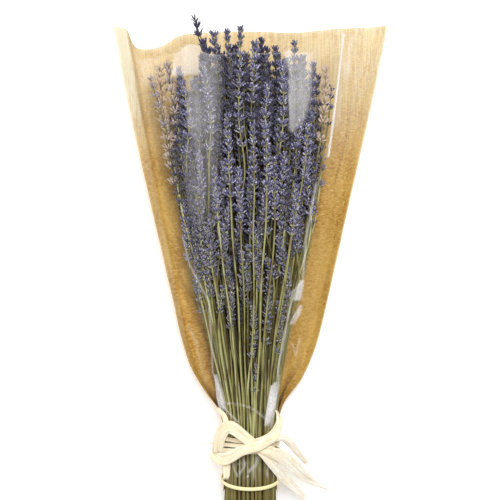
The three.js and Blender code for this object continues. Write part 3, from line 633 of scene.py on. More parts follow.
def named(graph, name, kind="FLOAT"):
    return graph.add("GeometryNodeInputNamedAttribute", {"Name": name}, data_type=kind)


def stored(graph, geometry, name, value, domain="POINT"):
    return graph.add("GeometryNodeStoreNamedAttribute", {
        "Geometry": geometry, "Name": name, "Value": value}, data_type="FLOAT", domain=domain)


def finished(graph, given, geometry):
    """Ends a tree: real geometry with its finish."""
    real = graph.add("GeometryNodeRealizeInstances", {"Geometry": geometry})
    done = graph.add("GeometryNodeSetMaterial", {"Geometry": real, "Material": given["Finish"]})
    graph.add("NodeGroupOutput", {"Geometry": done})
    return graph.tree


def strand_tree():
    """Strands along the source's edges: a grooved profile, scaled by each point's size."""
    graph, given = new_tree("strands", Points=4, Groove=0.8, Flatness=1.0, Finish="Material")
    curve = graph.add("GeometryNodeMeshToCurve", {"Mesh": given["Geometry"]})
    turned = graph.add("GeometryNodeSetCurveNormal", {
        "Curve": curve, "Normal": named(graph, "facing", "FLOAT_VECTOR")}, mode="FREE")
    star = graph.add("GeometryNodeCurveStar", {
        "Points": given["Points"], "Inner Radius": given["Groove"], "Outer Radius": 1.0})
    side = graph.add("ShaderNodeSeparateXYZ", {0: graph.add("GeometryNodeInputPosition")})["Y"]
    flat = graph.add("ShaderNodeCombineXYZ", {"X": given["Flatness"], "Y": 1.0, "Z": 1.0})
    profile = graph.add("GeometryNodeTransform", {
        "Geometry": stored(graph, star, "across", side), "Scale": flat})
    return finished(graph, given, graph.add("GeometryNodeCurveToMesh", {
        "Curve": turned, "Profile Curve": profile, "Scale": named(graph, "size"), "Fill Caps": True}))


def turned_on(graph, rotation, axis, angle):
    turn = graph.add("FunctionNodeAxisAngleToRotation", {"Axis": axis, "Angle": angle})
    return graph.add("FunctionNodeRotateRotation", {"Rotation": rotation, "Rotate By": turn},
                     rotation_space="LOCAL")


TURN_ROUND = 6.28
ROUND_JITTER = 0.28
FLORET_SIZES = (0.8, 1.14)


def whorl_tree():
    """Whorls of florets round each point of the source, leaning out from its axis."""
    graph, given = new_tree("whorls", Floret="Object", Florets=7, Spread=0.2, Root=0.0008, Rise=0.0012,
                            Seed=SEED, Finish="Material")

    def chance(low, high, channel):
        return graph.add("FunctionNodeRandomValue", {
            "Min": low, "Max": high, "Seed": given["Seed"] + channel}, data_type="FLOAT")

    copies = graph.add("GeometryNodeDuplicateElements", {
        "Geometry": graph.add("GeometryNodeMeshToPoints", {"Mesh": given["Geometry"]}),
        "Amount": given["Florets"]}, domain="POINT")
    place = copies["Duplicate Index"] + chance(-ROUND_JITTER, ROUND_JITTER, 1)
    turn = place * (2 * math.pi) / given["Florets"]
    upright = graph.add("FunctionNodeAlignRotationToVector", {
        "Vector": named(graph, "axis", "FLOAT_VECTOR")}, axis="Z")
    round_stem = turned_on(graph, upright, (0, 0, 1), turn + named(graph, "turn"))
    outward = chance(-1, 1, 2)
    lean = named(graph, "lean") * (1 + given["Spread"] * outward)
    leaning = turned_on(graph, round_stem, (0, 1, 0), lean)
    spinning = turned_on(graph, leaning, (0, 0, 1), chance(0, TURN_ROUND, 3))
    root = graph.add("ShaderNodeCombineXYZ", {
        "X": given["Root"], "Y": 0.0, "Z": given["Rise"] * (1 - outward)})
    offset = graph.add("FunctionNodeRotateVector", {"Vector": root, "Rotation": round_stem})
    florets = graph.add("GeometryNodeInstanceOnPoints", {
        "Points": graph.add("GeometryNodeSetPosition", {"Geometry": copies, "Offset": offset}),
        "Instance": graph.add("GeometryNodeObjectInfo", {"Object": given["Floret"]})["Geometry"],
        "Rotation": spinning, "Scale": named(graph, "size") * chance(*FLORET_SIZES, 5)})
    return finished(graph, given, stored(graph, florets, "tint", chance(0, 1, 6), domain="INSTANCE"))


STRANDS = strand_tree()
WHORLS = whorl_tree()


def strands(name, runs, finish, points=4, groove=0.8, flatness=1.0):
    """Strands along runs of points, each run a dict of values or arrays of them."""
    counts = [len(run["points"]) for run in runs]
    starts = np.cumsum([0, *counts[:-1]])
    edges = [(start + i, start + i + 1) for start, count in zip(starts, counts) for i in range(count - 1)]
    whole = {key: np.concatenate([np.broadcast_to(run[key], (count, *np.shape(run[key])[1:]))
                                  for run, count in zip(runs, counts)])
             for key in ("points", "size", "facing", "along", "tint", "deep")}
    whole["size"] = whole["size"] * MM
    source = mesh_object(name + "_paths", in_frame(whole.pop("points")), (), edges, whole)
    return grown(name, source, STRANDS, Points=points, Groove=groove, Flatness=flatness, Finish=finish)


def joined(name, pieces):
    """One object from several, which are removed."""
    with bpy.context.temp_override(active_object=pieces[0], selected_editable_objects=pieces):
        bpy.ops.object.join()
    pieces[0].name = pieces[0].data.name = name
    return pieces[0]


def handed_in(piece, slot, *nodes):
    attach(piece, "root")
    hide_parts(*nodes)


# ---- Stems --------------------------------------------------------------------------------------

draws = np.random.default_rng(SEED)
STEM_THICKNESSES = (0.75, 1.15)
STEM_TAPER = 0.75
HEAD_AXIS_RADII = (0.8, 0.45)
WANDER = {"reach": 0.7, "lengths": (19, 27), "starts": (0, 60), "ends": 40}
CUT_TURN = 2.4
FAR_LEFT = (62, 78)
LEFT_LEAN = 4.0
LEFT_RISE = 1.5
LEAN_HEIGHTS = (240, 332)
WORN_STEM = 0.2
TALLEST = 370
TALLEST_HEAD = (-31, 318, -51, 378)
OUTERMOST = 62
SISTERS_FROM = (240, 300)
SISTER_GAPS = (7.5, 10.5)
SISTER_DROPS = (5, 17)
SISTER_LENGTHS = (50, 74)
SISTER_SLIMS = (0.8, 1)
# How far behind the front the further heads lie, low and high along each, by the height of its tip.
FURTHER_LOW = ([150, 360], [0.85, 0.1])
FURTHER_HIGH = ([250, 350], [0.9, 0.55])
FURTHER_SUNK = (5, 9)
FURTHER_SLIMS = (0.75, 0.95)
OUTER_STEMS = 34
BARE_TOPS = {"front": (50, 95), "back": (120, 210)}
# Painted shade: how dark the heads behind the front ones are, lowest and highest, and the reaches inside the
# bunch over which it comes on.
BEHIND = (0.45, 1.0)
SHADED = (-0.86, -0.5)

# Heads gone brown: how far, and the middle and width of the strip in which their tips lie.
WORN = [(0.85, -78, 9), (0.7, 65.5, 3)]

# Heads that fill the flanks and the top: base x and height, tip x and height.
MORE_HEADS = [
    (-28, 196, -32, 254), (0, 186, 1, 244), (30, 190, 33, 248), (10, 180, 11, 236), (-20, 148, -24, 202),
    (6, 148, 7, 203), (14, 108, 17, 158), (-16, 118, -20, 170), (24, 150, 28, 205), (-30, 150, -35, 206),
    (36, 166, 40, 222), (-2, 126, -2, 180), (-22, 176, -26, 234), (-44, 118, -47, 166),
    (-40, 150, -44, 206), (28, 110, 32, 158), (-24, 232, -27, 296), (-8, 236, -9, 300), (8, 232, 9, 296),
    (22, 228, 24, 292), (38, 232, 42, 296), (-16, 262, -18, 326), (0, 258, 0, 322), (16, 256, 17, 320),
    (30, 262, 33, 326), (-32, 262, -36, 328), (44, 262, 48, 322), (-50, 250, -54, 312),
    (-16, 206, -18, 264), (14, 204, 16, 262), (-44, 146, -49, 204), (-47, 170, -54, 232),
    (-51, 196, -58, 262), (-56, 226, -63, 292), (-46, 208, -51, 268), (-35, 236, -40, 300),
    (40, 170, 43, 226), (45, 204, 49, 262), (49, 232, 54, 296), (-40, 288, -42, 345),
    (-35, 292, -36, 350), (-26, 292, -28, 352), (-14, 292, -16, 350), (-3, 288, -3, 346),
    (8, 288, 7, 348), (14, 290, 15, 350), (23, 284, 25, 345), (40, 278, 44, 342), (36, 262, 38, 328),
    (-20, 284, -24, 346), (-36, 280, -42, 344), (28, 276, 30, 340), (-8, 280, -9, 340), (4, 276, 4, 338),
    (-54, 262, -59, 322), (47, 284, 46, 344), (33, 280, 32, 341), (-58, 270, -61, 330),
    (50, 256, 54, 327), (-66, 230, -75, 294), (-61, 212, -68, 264),
]

# Heads whose bare stems run over the front of the bunch, with the same four sizes.
STEMS_IN_FRONT = [
    (-27, 196, -31, 246), (-17, 218, -19, 276), (4, 228, 2, 284), (15, 226, 13, 282),
    (36, 186, 40, 232), (46, 236, 50, 284), (-33, 158, -38, 196), (22, 200, 20, 254), (-8, 196, -10, 246),
]


def sunk_depth(heights, across, deep):
    """How far inside the bunch a point lies, which sets its painted shade: 0 near its surface, 1 well inside.
    """
    middle, half_width, half_depth, centre = section_table(heights)
    reach = np.hypot((across - middle) / (half_width - 2), (deep - centre) / (half_depth - 2))
    return smooth(-reach, *SHADED)


class Stalk:
    """One stem with its head: its middle line by height, and where the head starts and ends."""

    def __init__(self, middle, base, tip, slim, low):
        self.middle, self.base, self.tip, self.slim, self.low = middle, base, tip, slim, low
        self.tint = draws.random()
        self.thick = STEM_RADIUS * draws.uniform(*STEM_THICKNESSES)
        self.shaded = 0.0
        self.worn = sum(share * bell(middle(tip)[0], *place) for share, *place in WORN)

    def run(self, low, high, thick, thin, step=7.0):
        """The stem's points from one height to another, with what the strand tree needs."""
        heights = np.linspace(low, high, max(4, int((high - low) / step)))
        across, deep = self.middle(heights).T
        phase = self.tint * 50
        held = smooth(heights, self.base - WANDER["ends"], self.base)
        loose = WANDER["reach"] * smooth(heights, *WANDER["starts"]) * (1 - held)
        across = across + loose * np.sin(heights / WANDER["lengths"][0] + phase)
        deep = deep + loose * np.sin(heights / WANDER["lengths"][1] + phase * 2)
        facing = np.tile([math.cos(phase), 0.0, math.sin(phase)], (len(heights), 1))
        # the 'deep' entry is painted shade, darker well inside the bunch
        return {"points": np.column_stack([across, heights, deep]), "facing": facing, "tint": self.tint,
                "size": np.linspace(thick, thin, len(heights)), "along": heights - self.low,
                "deep": sunk_depth(heights, across, deep)}

    def stem(self):
        return self.run(self.low, self.base, self.thick, self.thick * STEM_TAPER)

    def axis(self):
        """The part of the stem inside the head."""
        return self.run(self.base - 1, self.tip - 4, *HEAD_AXIS_RADII, 4.0)


def cut_height(number):
    return CUT_END + CUT_SPREAD * math.sin(number * CUT_TURN)


def first_stalk(plant):
    """The plant's own stem: it leans out at the far left, and the tallest is placed by its head."""
    base, tip, far_left = plants.base[plant], plants.tip[plant], smooth(-plants.tip_x[plant], *FAR_LEFT)
    if tip > TALLEST:
        return further_stalk(*TALLEST_HEAD)
    route = plants.route[plant].copy()
    route[:, 0] -= LEFT_LEAN * far_left * smooth(STATIONS, *LEAN_HEIGHTS)
    slim = plants.radius[plant] / SPIKE_RADIUS
    stalk = Stalk(Run(STATIONS, route), base, tip + LEFT_RISE * far_left, slim, cut_height(plant))
    if stalk.worn > 0.3:
        stalk.tint *= WORN_STEM
    return stalk


def kept_in_bunch(heights, route, reach):
    """The route drawn in where it would leave the bunch's section."""
    middle, half_width, half_depth, centre = section_table(heights)
    half = np.column_stack([half_width, half_depth]) - np.reshape(reach, (-1, 1))
    centre = np.column_stack([middle, centre])
    out = np.hypot(*((route - centre) / half).T)[:, None]
    return np.where(out > 1, centre + (route - centre) / out, route)


def sister_stalk(plant, turn, drop):
    """A stem that grew beside another, a little deeper in the bunch, with a lower tip."""
    base, tip = plants.base[plant], plants.tip[plant] - drop
    angle = turn + draws.uniform(-0.5, 0.5)
    reach = np.interp(STATIONS, [TIE_TOP, 110, base], [2.3, 4.5, draws.uniform(*SISTER_GAPS)])
    away = np.column_stack([np.cos(angle) * reach, -(0.45 + 0.55 * abs(np.sin(angle))) * reach])
    room = np.interp(STATIONS, [base - 30, base], [STEM_RADIUS, 5.5])
    route = kept_in_bunch(STATIONS, plants.route[plant] + away, room)
    own_base = max(base - 8, tip - draws.uniform(*SISTER_LENGTHS))
    stalk = Stalk(Run(STATIONS, route), own_base, tip, draws.uniform(*SISTER_SLIMS), cut_height(plant + turn))
    # painted shade: a head behind the front
    stalk.shaded = draws.uniform(*BEHIND)
    return stalk


def further_stalk(base_x, base, tip_x, tip, in_front=False):
    """A stem for a head that is placed by its own middle line, at or just under the bunch's front."""
    middle, half_width, half_depth, centre = section_table(STATIONS)
    share = np.clip((STATIONS - TIE_TOP) / (base - TIE_TOP), 0, 1) ** FAN_CURVE
    lean = np.clip((STATIONS - base) / (tip - base), 0, 1)
    side = np.clip(base_x / (section_table(base)[1] - SPIKE_RADIUS), -0.9, 0.9)
    across = between(NECK_MIDDLE + (NECK_WIDTH - 3) * side, between(base_x, tip_x, lean), share)
    room = np.sqrt(np.maximum(0.05, 1 - ((across - middle) / half_width) ** 2))
    if in_front:
        low, high, sunk = 1, 1, between(1.2, draws.uniform(3, 5), lean)
    else:
        low, high = np.interp(tip, *FURTHER_LOW), np.interp(tip, *FURTHER_HIGH)
        sunk = draws.uniform(*FURTHER_SUNK)
    deep = centre + (half_depth - sunk) * room * between(low, high, share ** 2)
    route = kept_in_bunch(STATIONS, np.column_stack([across, deep]), np.full(len(STATIONS), 1.2))
    stalk = Stalk(Run(STATIONS, route), base, tip, draws.uniform(*FURTHER_SLIMS), cut_height(base))
    if in_front:
        # painted light: the stems over the front take the lighter olives
        stalk.tint = between(0.45, 0.9, stalk.tint)
        stalk.thick *= 0.85
    elif tip <= TALLEST:
        # painted shade for heads behind the front, less for the low ones
        stalk.shaded = draws.uniform(*BEHIND) * smooth(tip, 150, 260)
    return stalk


def headless_stalk(angle):
    """A stem on the bunch's outside whose head is lost."""
    end = draws.uniform(*BARE_TOPS["front" if math.sin(angle) > 0 else "back"])
    sunk = draws.uniform(1.3, 3)
    heights = np.array([CUT_END - 8, TIE_TOP, *np.linspace(TIE_TOP + 20, end, 6)])
    middle, half_width, half_depth, centre = section_table(heights)
    inward = np.interp(heights, [TIE_TOP, end], [1.0, 0.8])
    across = middle + (half_width - sunk) * math.cos(angle) * inward
    deep = centre + (half_depth - sunk) * math.sin(angle) * inward
    low = CUT_END + CUT_SPREAD * draws.uniform(-1, 1)
    return Stalk(Run(heights, np.column_stack([across, deep])), end, end, 1, low)


def grown_stalks():
    """For each plant of the solids, its stalk, its sisters and the further ones nearest to it."""
    groups = []
    for plant in range(plants.count):
        tip = plants.tip[plant]
        outermost = abs(plants.tip_x[plant]) > OUTERMOST or tip > TALLEST
        sisters = 0 if outermost else sum(tip > height for height in SISTERS_FROM)
        groups.append([first_stalk(plant)])
        for number in range(sisters):
            turn = math.pi * (number + 0.25 + 0.5 * (plant % 2))
            groups[-1].append(sister_stalk(plant, turn, draws.uniform(*SISTER_DROPS) + 14 * number))
    for head in MORE_HEADS + STEMS_IN_FRONT:
        away = np.hypot(plants.tip_x - head[2], plants.tip - head[3]) + 1000 * (1 - plants.front)
        groups[np.argmin(away)].append(further_stalk(*head, head in STEMS_IN_FRONT))
    return groups


stalk_groups = grown_stalks()


def lavender_stalks():
    runs = [stalk.stem() for group in stalk_groups for stalk in group]
    for index in range(OUTER_STEMS):
        runs.append(headless_stalk(2 * math.pi * (index + 0.3 * draws.random()) / OUTER_STEMS).stem())
    piece = strands("lavender_stalks", runs, stalk_finish, groove=0.86)
    handed_in(piece, "stems", "lavender_stems")


# ---- Flower heads -------------------------------------------------------------------------------

WHORL_PITCH = (6.2, 8.8)
TIP_FLORETS = 7.6
LOWEST_WHORL = 7.4
TIP_CROWDING = 1.14
LOW_HEAD_SIZE = 0.86
# Tips' heights over which the whorls move apart, crowd towards the tip, and grow.
RISES = {"pitch": (230, 310), "crowding": (220, 300), "size": (190, 290)}
WHORL_SHIFT = 0.7
WORN_SWELL = 0.3
APART = {"loose": 0.8, "close": 0.3}
FLORET_LEAN = (0.78, 0.54)
SMALLEST_FLORET = 0.64
CALYCES = {"florets": 12, "spread": 0.5, "root": 0.4, "rise": 1.3}
BRACTS = {"florets": 4, "spread": 0.15, "root": 0.7, "rise": 0.2, "lean": 1.25}
BRACT_COLOUR = 0.2
BRACT_SEEDS = SEED + 200

# Radius and height along a calyx and a bract.
CALYX = [(0.34, 0.2), (0.9, 3.6), (0.6, 6.9), (0.24, 6.0)]
BRACT = [(0.3, 0.0), (1.05, 1.1), (0.85, 2.6), (0.15, 4.0)]


def turned_solid(name, profile, sides, ribs=1.0, coloured=1.0):
    """A closed solid turned on Z from (radius, height) pairs; every other edge is drawn in by ribs."""
    length = max(height for _, height in profile)
    points, along, groove = [(0, 0, profile[0][1])], [0.0], [0.5]
    for radius, height in profile:
        for side in range(sides):
            angle = 2 * math.pi * side / sides
            reach = radius * (ribs if side % 2 else 1)
            points.append((reach * math.cos(angle), reach * math.sin(angle), height))
            along.append(height / length)
            groove.append(side % 2)
    points.append((0, 0, profile[-1][1]))
    along.append(along[-1])
    groove.append(1)
    top, rim, following = len(points) - 1, range(sides), [*range(1, sides), 0]
    faces = [(0, 1 + t, 1 + s) for s, t in zip(rim, following)]
    for low in range(1, top - sides, sides):
        faces += [(low + s, low + t, low + sides + t, low + sides + s) for s, t in zip(rim, following)]
    faces += [(top, top - sides + s, top - sides + t) for s, t in zip(rim, following)]
    return mesh_object(name, np.array(points) * MM, faces, (), {
        "along": np.array(along) * coloured, "groove": np.array(groove) * coloured})


calyx = turned_solid("calyx_shape", CALYX, 6, ribs=0.7)
bract = turned_solid("bract_shape", BRACT, 4, ribs=0.3, coloured=BRACT_COLOUR)


def head_seats(stalk):
    """Where the whorls of a head sit, and how far the florets of each lean and reach."""
    apart = APART["loose" if stalk.tint < 0.35 else "close"]
    length = stalk.tip - stalk.base - TIP_FLORETS
    count = max(4, round(length / between(*WHORL_PITCH, smooth(stalk.tip, *RISES["pitch"]))) + 1)
    steps = np.arange(count) / (count - 1)
    crowding = between(1, TIP_CROWDING, smooth(stalk.tip, *RISES["crowding"]))
    shares = 1 - (1 - steps) ** crowding + apart * (steps > 0) * (1 - steps) / count
    heights = stalk.base + shares * length + draws.uniform(-WHORL_SHIFT, WHORL_SHIFT, count) * (steps < 1)
    across, deep = stalk.middle(heights).T
    axis = stalk.middle(heights + 1) - stalk.middle(heights)
    axis = unit(np.column_stack([axis[:, 0], np.ones(count), axis[:, 1]]))
    deep = np.maximum(deep, LOWEST_WHORL)
    size = np.minimum(1, 0.8 + 0.8 * (1 - shares)) * stalk.slim
    size = size * between(LOW_HEAD_SIZE, 1, smooth(stalk.tip, *RISES["size"]))
    size = size * (1 + WORN_SWELL * stalk.worn)
    # painted shade on the head: inside the bunch or behind the front heads, less on worn heads
    shaded = np.maximum(sunk_depth(heights, across, deep), stalk.shaded)
    return {"points": np.column_stack([across, heights, deep]), "axis": axis,
            "size": np.maximum(size, SMALLEST_FLORET), "lean": between(*FLORET_LEAN, shares ** 1.5),
            "turn": draws.uniform(0, TURN_ROUND, count), "worn": np.full(count, stalk.worn),
            "deep": shaded * (1 - 0.9 * stalk.worn)}


def whorls(name, seats, floret, seed, florets, spread, root, rise, lean=1.0):
    marks = {**seats, "lean": seats["lean"] * lean}
    source = mesh_object(name, in_frame(marks.pop("points")), (), (), marks)
    return grown(name, source, WHORLS, Floret=floret, Florets=florets, Spread=spread, Root=root * MM,
                 Rise=rise * MM, Seed=seed, Finish=flower_finish)


def flower_heads():
    for number, group in enumerate(members, start=1):
        stalks = [stalk for plant in group for stalk in stalk_groups[plant]]
        rows = [head_seats(stalk) for stalk in stalks]
        seats = {key: np.concatenate([row[key] for row in rows]) for key in rows[0]}
        piece = joined(f"flower_head_{number:02d}", [
            whorls("calyces", seats, calyx, SEED + number, **CALYCES),
            whorls("bracts", seats, bract, BRACT_SEEDS + number, **BRACTS),
            strands("axes", [stalk.axis() for stalk in stalks], stalk_finish, points=3)])
        handed_in(piece, "flower_spikes", f"spikes_{number:02d}")


# ---- Sleeve -------------------------------------------------------------------------------------

PAPER_THICKNESS = 0.8
PAPER_FLAT = 0.3
SIDE_CURVE = 1.9
HEM_START = 0.92
HEM_RISE = 4
FILM_REACH = 0.9
FILM_CLEARANCE = 2.4
FILM_ARC = 0.6
FILM_MARGIN = 0.5
PAPER_MARGIN = 1.3
NECK_WRAP = math.radians(100)
GATHER_LEFT = (14, 44)
GATHER_RIGHT = (20, 60)
LEFT_FLARE = 3.0
RAISED_SIDES = (0.28, 0.6)
PLEATS = 23
FILM_PLEATS = 34
SHEETS = {"paper": 0.35, "film": 0.12}
PAPER_LAST = 365
PAPER_COLUMNS = 150
FILM_FIRST, FILM_LAST = -36, 348
FILM_GRID = (170, 260)
HEM_LINE = ([100, 280, 365], [0.93, 0.915, 0.9])
# Rows of the paper's grid, closer at the neck: first height, last height and how many.
PAPER_ROWS = [(PAPER_BOTTOM, 110, 90), (110, PAPER_LAST, 110)]
# Bends: how high, how often across and along, and the seed.
PAPER_BENDS = [(1.6, 3.1, 0.011, 11), (0.5, 9.0, 0.03, 27)]
TOP_BENDS = (4.0, 2.4, 0.004, 41)
FILM_BENDS = {"free": (2.4, 6.0, 0.007, 13), "all": (0.8, 4.0, 0.02, 17)}
# Painted light near the paper's top: strength, and the heights over which it comes on.
TOP_PAINTED_LIGHT = [(0.26, 361, 365), (0.42, 225, 350)]

# Top edges of the sheets: place across from -1 to 1, and height.
PAPER_TOP = np.array([
    (-1, 371), (-0.93, 371), (-0.9, 370), (-0.87, 361), (-0.84, 355.5), (-0.79, 354), (-0.65, 358),
    (-0.54, 367), (-0.37, 370.5), (0, 372), (0.35, 371), (0.6, 373), (1, 372)])
FILM_TOP = np.array([
    (-1, 338), (-0.6, 338), (-0.33, 339), (-0.26, 342), (-0.22, 347.5), (-0.17, 345.5), (-0.145, 340.5),
    (0, 340), (0.22, 341), (0.26, 344), (0.32, 354), (0.45, 361), (0.7, 362), (1, 362)])

# Dents in the paper: how deep, how wide, and the points along each.
PAPER_DENTS = [(1.4, 2.5, [(-66, 149), (-49, 121)]), (1.0, 3.0, [(-78, 190), (-60, 130), (-44, 96)])]
# Folds of the paper as painted shade, or painted light where the strength is below 0: strength, width, and
# the points along each.
PAPER_FOLDS = [
    (0.16, 1.5, [(-93, 350), (-82, 349), (-70, 354), (-58, 363)]),
    (0.12, 2.0, [(-66, 366), (-50, 356), (-40, 352)]), (0.1, 2.5, [(28, 371), (46, 362), (60, 369)]),
    (0.3, 2.2, [(-66, 149), (-57, 134), (-49, 121)]), (0.16, 3.0, [(66, 250), (62, 215), (60, 175)]),
    (0.14, 3.5, [(72, 200), (64, 140), (52, 96)]), (-0.24, 1.6, [(-55.5, 104.5), (-47.4, 88.4)]),
    (-0.2, 1.6, [(-47.4, 84), (-38.5, 48)]),
]
# Painted reflections on the film, as whitish panels: soft edge, then rows of height, left x, right x,
# strength.
REFLECTION_PANELS = [
    (3.0, [(214, -39, -35, 0), (241, -43, -31, 0.03), (258, -46, -31, 0.05), (279, -52.5, -32, 0.08),
           (300, -53.3, -30, 0.085), (319, -53.3, -28.8, 0.085), (321, -46, -28.8, 0.08),
           (345, -45, -29, 0.07)]),
    (1.3, [(273, 34.3, 34.8, 0.17), (277, 33.8, 38, 0.17), (285, 33.4, 45, 0.17), (300, 33, 49, 0.19),
           (321, 33, 51, 0.19), (334, 31, 52, 0.17), (341, 28.5, 52, 0.15)]),
    (1.6, [(322, -66.7, -45.3, 0.17), (341, -64, -45.3, 0.17), (350, -59, -46.5, 0.17)]),
    (3.0, [(318, -96, -82, 0.04), (341, -98, -80, 0.04)]),
    (5.0, [(188, -47, -36, 0), (212, -52, -38, 0.04), (250, -57, -42, 0.04), (272, -60, -50, 0)]),
    (0.9, [(129.7, 37.6, 43.8, 0.34), (138, 40, 45, 0.36), (146.3, 42.9, 45.9, 0.3)]),
    (0.9, [(108.6, 34.6, 37.6, 0.3), (116.5, 37.6, 42.9, 0.36), (124.4, 42.9, 44.6, 0.3)]),
    (0.9, [(20, 12.5, 16, 0.3), (22.7, 13, 17.3, 0.42), (33.1, 14.3, 20.8, 0.52), (43.5, 16, 22.5, 0.54),
           (54.7, 18.2, 23.4, 0.42), (57, 21, 23.4, 0.3)]),
    (0.9, [(33.1, -27.7, -22, 0.2), (41.7, -29.5, -24, 0.4), (52.1, -30.3, -26.5, 0.4),
           (62.5, -31.6, -29.5, 0.3)]),
]
# Bright creases and edges of the film, partly whiter folded film and partly painted highlights: strength,
# width, and the points along each.
HIGHLIGHT_AND_FOLD_LINES = [
    (0.85, 0.62, [(81.8, 362.6), (72.2, 287.8), (67.8, 254.4)]), (0.1, 2.2, [(89, 362), (84, 325)]),
    (0.07, 2.0, [(83, 335), (75, 280)]),
    (0.16, 0.7, [(-57.7, 182), (-52.4, 160), (-35.5, 129), (-33.7, 94), (-32.9, 66), (-22.2, 38)]),
    (0.2, 0.9, [(57, 230), (48.4, 182), (45.8, 146), (37, 137), (31, 103), (24.6, 71), (25, 55),
                (18.5, 18)]),
    (0.12, 0.8, [(37.5, 90), (40.5, 80), (43.5, 95)]),
    (0.2, 0.6, [(-20, 39.4), (-7, 38.7), (2.6, 35.2), (11.3, 28.1), (15.7, 22.7)]),
    (0.25, 0.7, [(-26.6, 40.8), (-20.9, 33.1), (-10.4, 23)]),
    (0.17, 0.9, [(-16, -9), (-13.5, -20), (-11, -24)]), (0.18, 0.8, [(-6, -8.5), (-4.5, -15), (-9, -22)]),
    (0.2, 1.2, [(7, -7), (5, -14), (-1, -20)]), (0.16, 1.1, [(15.5, -14), (15, -24)]),
    (0.8, 0.45, [(-2.2, -23.6), (-1.8, -23.9)]),
]


def gathered(u, height):
    """How far the sheet is drawn in to the neck: the left side stays wide for longer."""
    left, right = smooth(height, *GATHER_LEFT), smooth(height, *GATHER_RIGHT)
    return 1 - between(left, right, smooth(u, -0.3, 0.3))


def wrap_point(height, angle, margin):
    middle, half_width, half_depth, centre = split(section_run(height))
    return np.stack([middle + (half_width + margin) * np.sin(angle), height,
                     centre + (half_depth + margin) * np.cos(angle)], axis=-1)


def paper_point(u, height):
    """The outer face of the paper, which lies on the surface along its middle."""
    half_width, rim = split(sleeve_run(height))
    half_width = half_width + LEFT_FLARE * bell(height, 55, 30) * smooth(-u, 0, 0.6)
    outside = np.maximum(0, (np.abs(u) - PAPER_FLAT) / (1 - PAPER_FLAT))
    hem = HEM_RISE * np.maximum(0, (np.abs(u) - HEM_START) / (1 - HEM_START))
    flat = np.stack([half_width * u, height, rim * outside ** SIDE_CURVE + hem], axis=-1)
    share = gathered(u, height)[..., None]
    return between(flat, wrap_point(height, math.pi - u * NECK_WRAP, PAPER_MARGIN), share)


def film_point(u, height):
    """The inner face of the film: up from each paper margin, then round over the bunch."""
    middle, half_width, half_depth, centre = split(section_run(height))
    sign = np.where(u < 0, -1.0, 1.0)
    edge = paper_point(FILM_REACH * sign, height)
    edge[..., 2] += PAPER_THICKNESS + 3 * GAP
    wide, deep = half_width + FILM_CLEARANCE, half_depth + FILM_CLEARANCE
    across = (edge[..., 0] - middle) * sign / wide
    above = (edge[..., 2] - centre) / deep
    limit = math.pi / 2 - np.arctan2(above, across) - np.arccos(np.minimum(1, 1 / np.hypot(across, above)))
    turn = limit * np.minimum(1, np.abs(u) / FILM_ARC)
    over = np.stack([middle + sign * wide * np.sin(turn), height, centre + deep * np.cos(turn)], axis=-1)
    out = np.maximum(0, (np.abs(u) - FILM_ARC) / (1 - FILM_ARC))[..., None]
    share = gathered(u, height)[..., None]
    return between(between(over, edge, out), wrap_point(height, u * NECK_WRAP, FILM_MARGIN), share)


def grid_normals(points):
    return unit(np.cross(np.gradient(points, axis=1), np.gradient(points, axis=0)))


def sheet_object(name, points, thickness, finish, attributes):
    """A closed sheet from a grid of points, thickened evenly on both sides."""
    rows, columns = points.shape[:2]
    normals = grid_normals(points) * thickness / 2
    layers = np.concatenate([(points + normals).reshape(-1, 3), (points - normals).reshape(-1, 3)])
    index = np.arange(rows * columns).reshape(rows, columns)
    quads = np.stack([index[:-1, :-1], index[:-1, 1:], index[1:, 1:], index[1:, :-1]], axis=-1).reshape(-1, 4)
    ring = np.concatenate([index[0, :-1], index[:-1, -1], index[-1, :0:-1], index[:0:-1, 0]])
    following = np.roll(ring, -1)
    rim = np.stack([ring, ring + rows * columns, following + rows * columns, following], axis=-1)
    faces = np.concatenate([quads, quads[:, ::-1] + rows * columns, rim]).tolist()
    doubled = {key: np.tile(np.asarray(values).ravel(), 2) for key, values in attributes.items()}
    piece = mesh_object(name, in_frame(layers), faces, (), doubled)
    piece.data.materials.append(finish)
    piece.data.polygons.foreach_set("use_smooth", [True] * len(faces))
    return piece


def waves(u, height, scale_u, scale_y, seed):
    """Soft uneven waves from a fixed noise field, from about -1 to 1."""
    flat = [noise.noise(Vector((a * scale_u, b * scale_y, seed)))
            for a, b in zip(np.ravel(u), np.ravel(height))]
    return np.array(flat).reshape(np.shape(u))


def bends(u, height, proud, scale_u, scale_y, seed):
    return proud * waves(u, height, scale_u, scale_y, seed)


def near_line(x, y, line, width):
    """How near each point is to a line of (x, y) points: 1 on it, fading out over width."""
    best = np.full(np.shape(x), 1e9)
    for (ax, ay), (bx, by) in zip(line, line[1:]):
        along = np.array([bx - ax, by - ay], float)
        t = np.clip(((x - ax) * along[0] + (y - ay) * along[1]) / (along @ along), 0, 1)
        best = np.minimum(best, np.hypot(x - ax - t * along[0], y - ay - t * along[1]))
    return bell(best, 0, width)


def in_panel(x, y, rows, soft):
    """A panel's strength between its left and right edges, fading out over the soft edge."""
    rows = np.array(rows)
    left, right, strength = (np.interp(y, rows[:, 0], column) for column in rows[:, 1:].T)
    inside = smooth(x, left - soft / 2, left + soft / 2) * smooth(-x, -right - 3 * soft, -right + soft)
    low, high = rows[[0, -1], 0]
    return strength * inside * smooth(y, low - soft, low + soft) * (y < high + 1)


def top_edge(edge, u, height, last):
    """Moves the last stretch of rows to the sheet's wavy top edge."""
    return height + (Run(edge[:, 0], edge[:, 1])(u) - last) * smooth(height, last - 60, last)


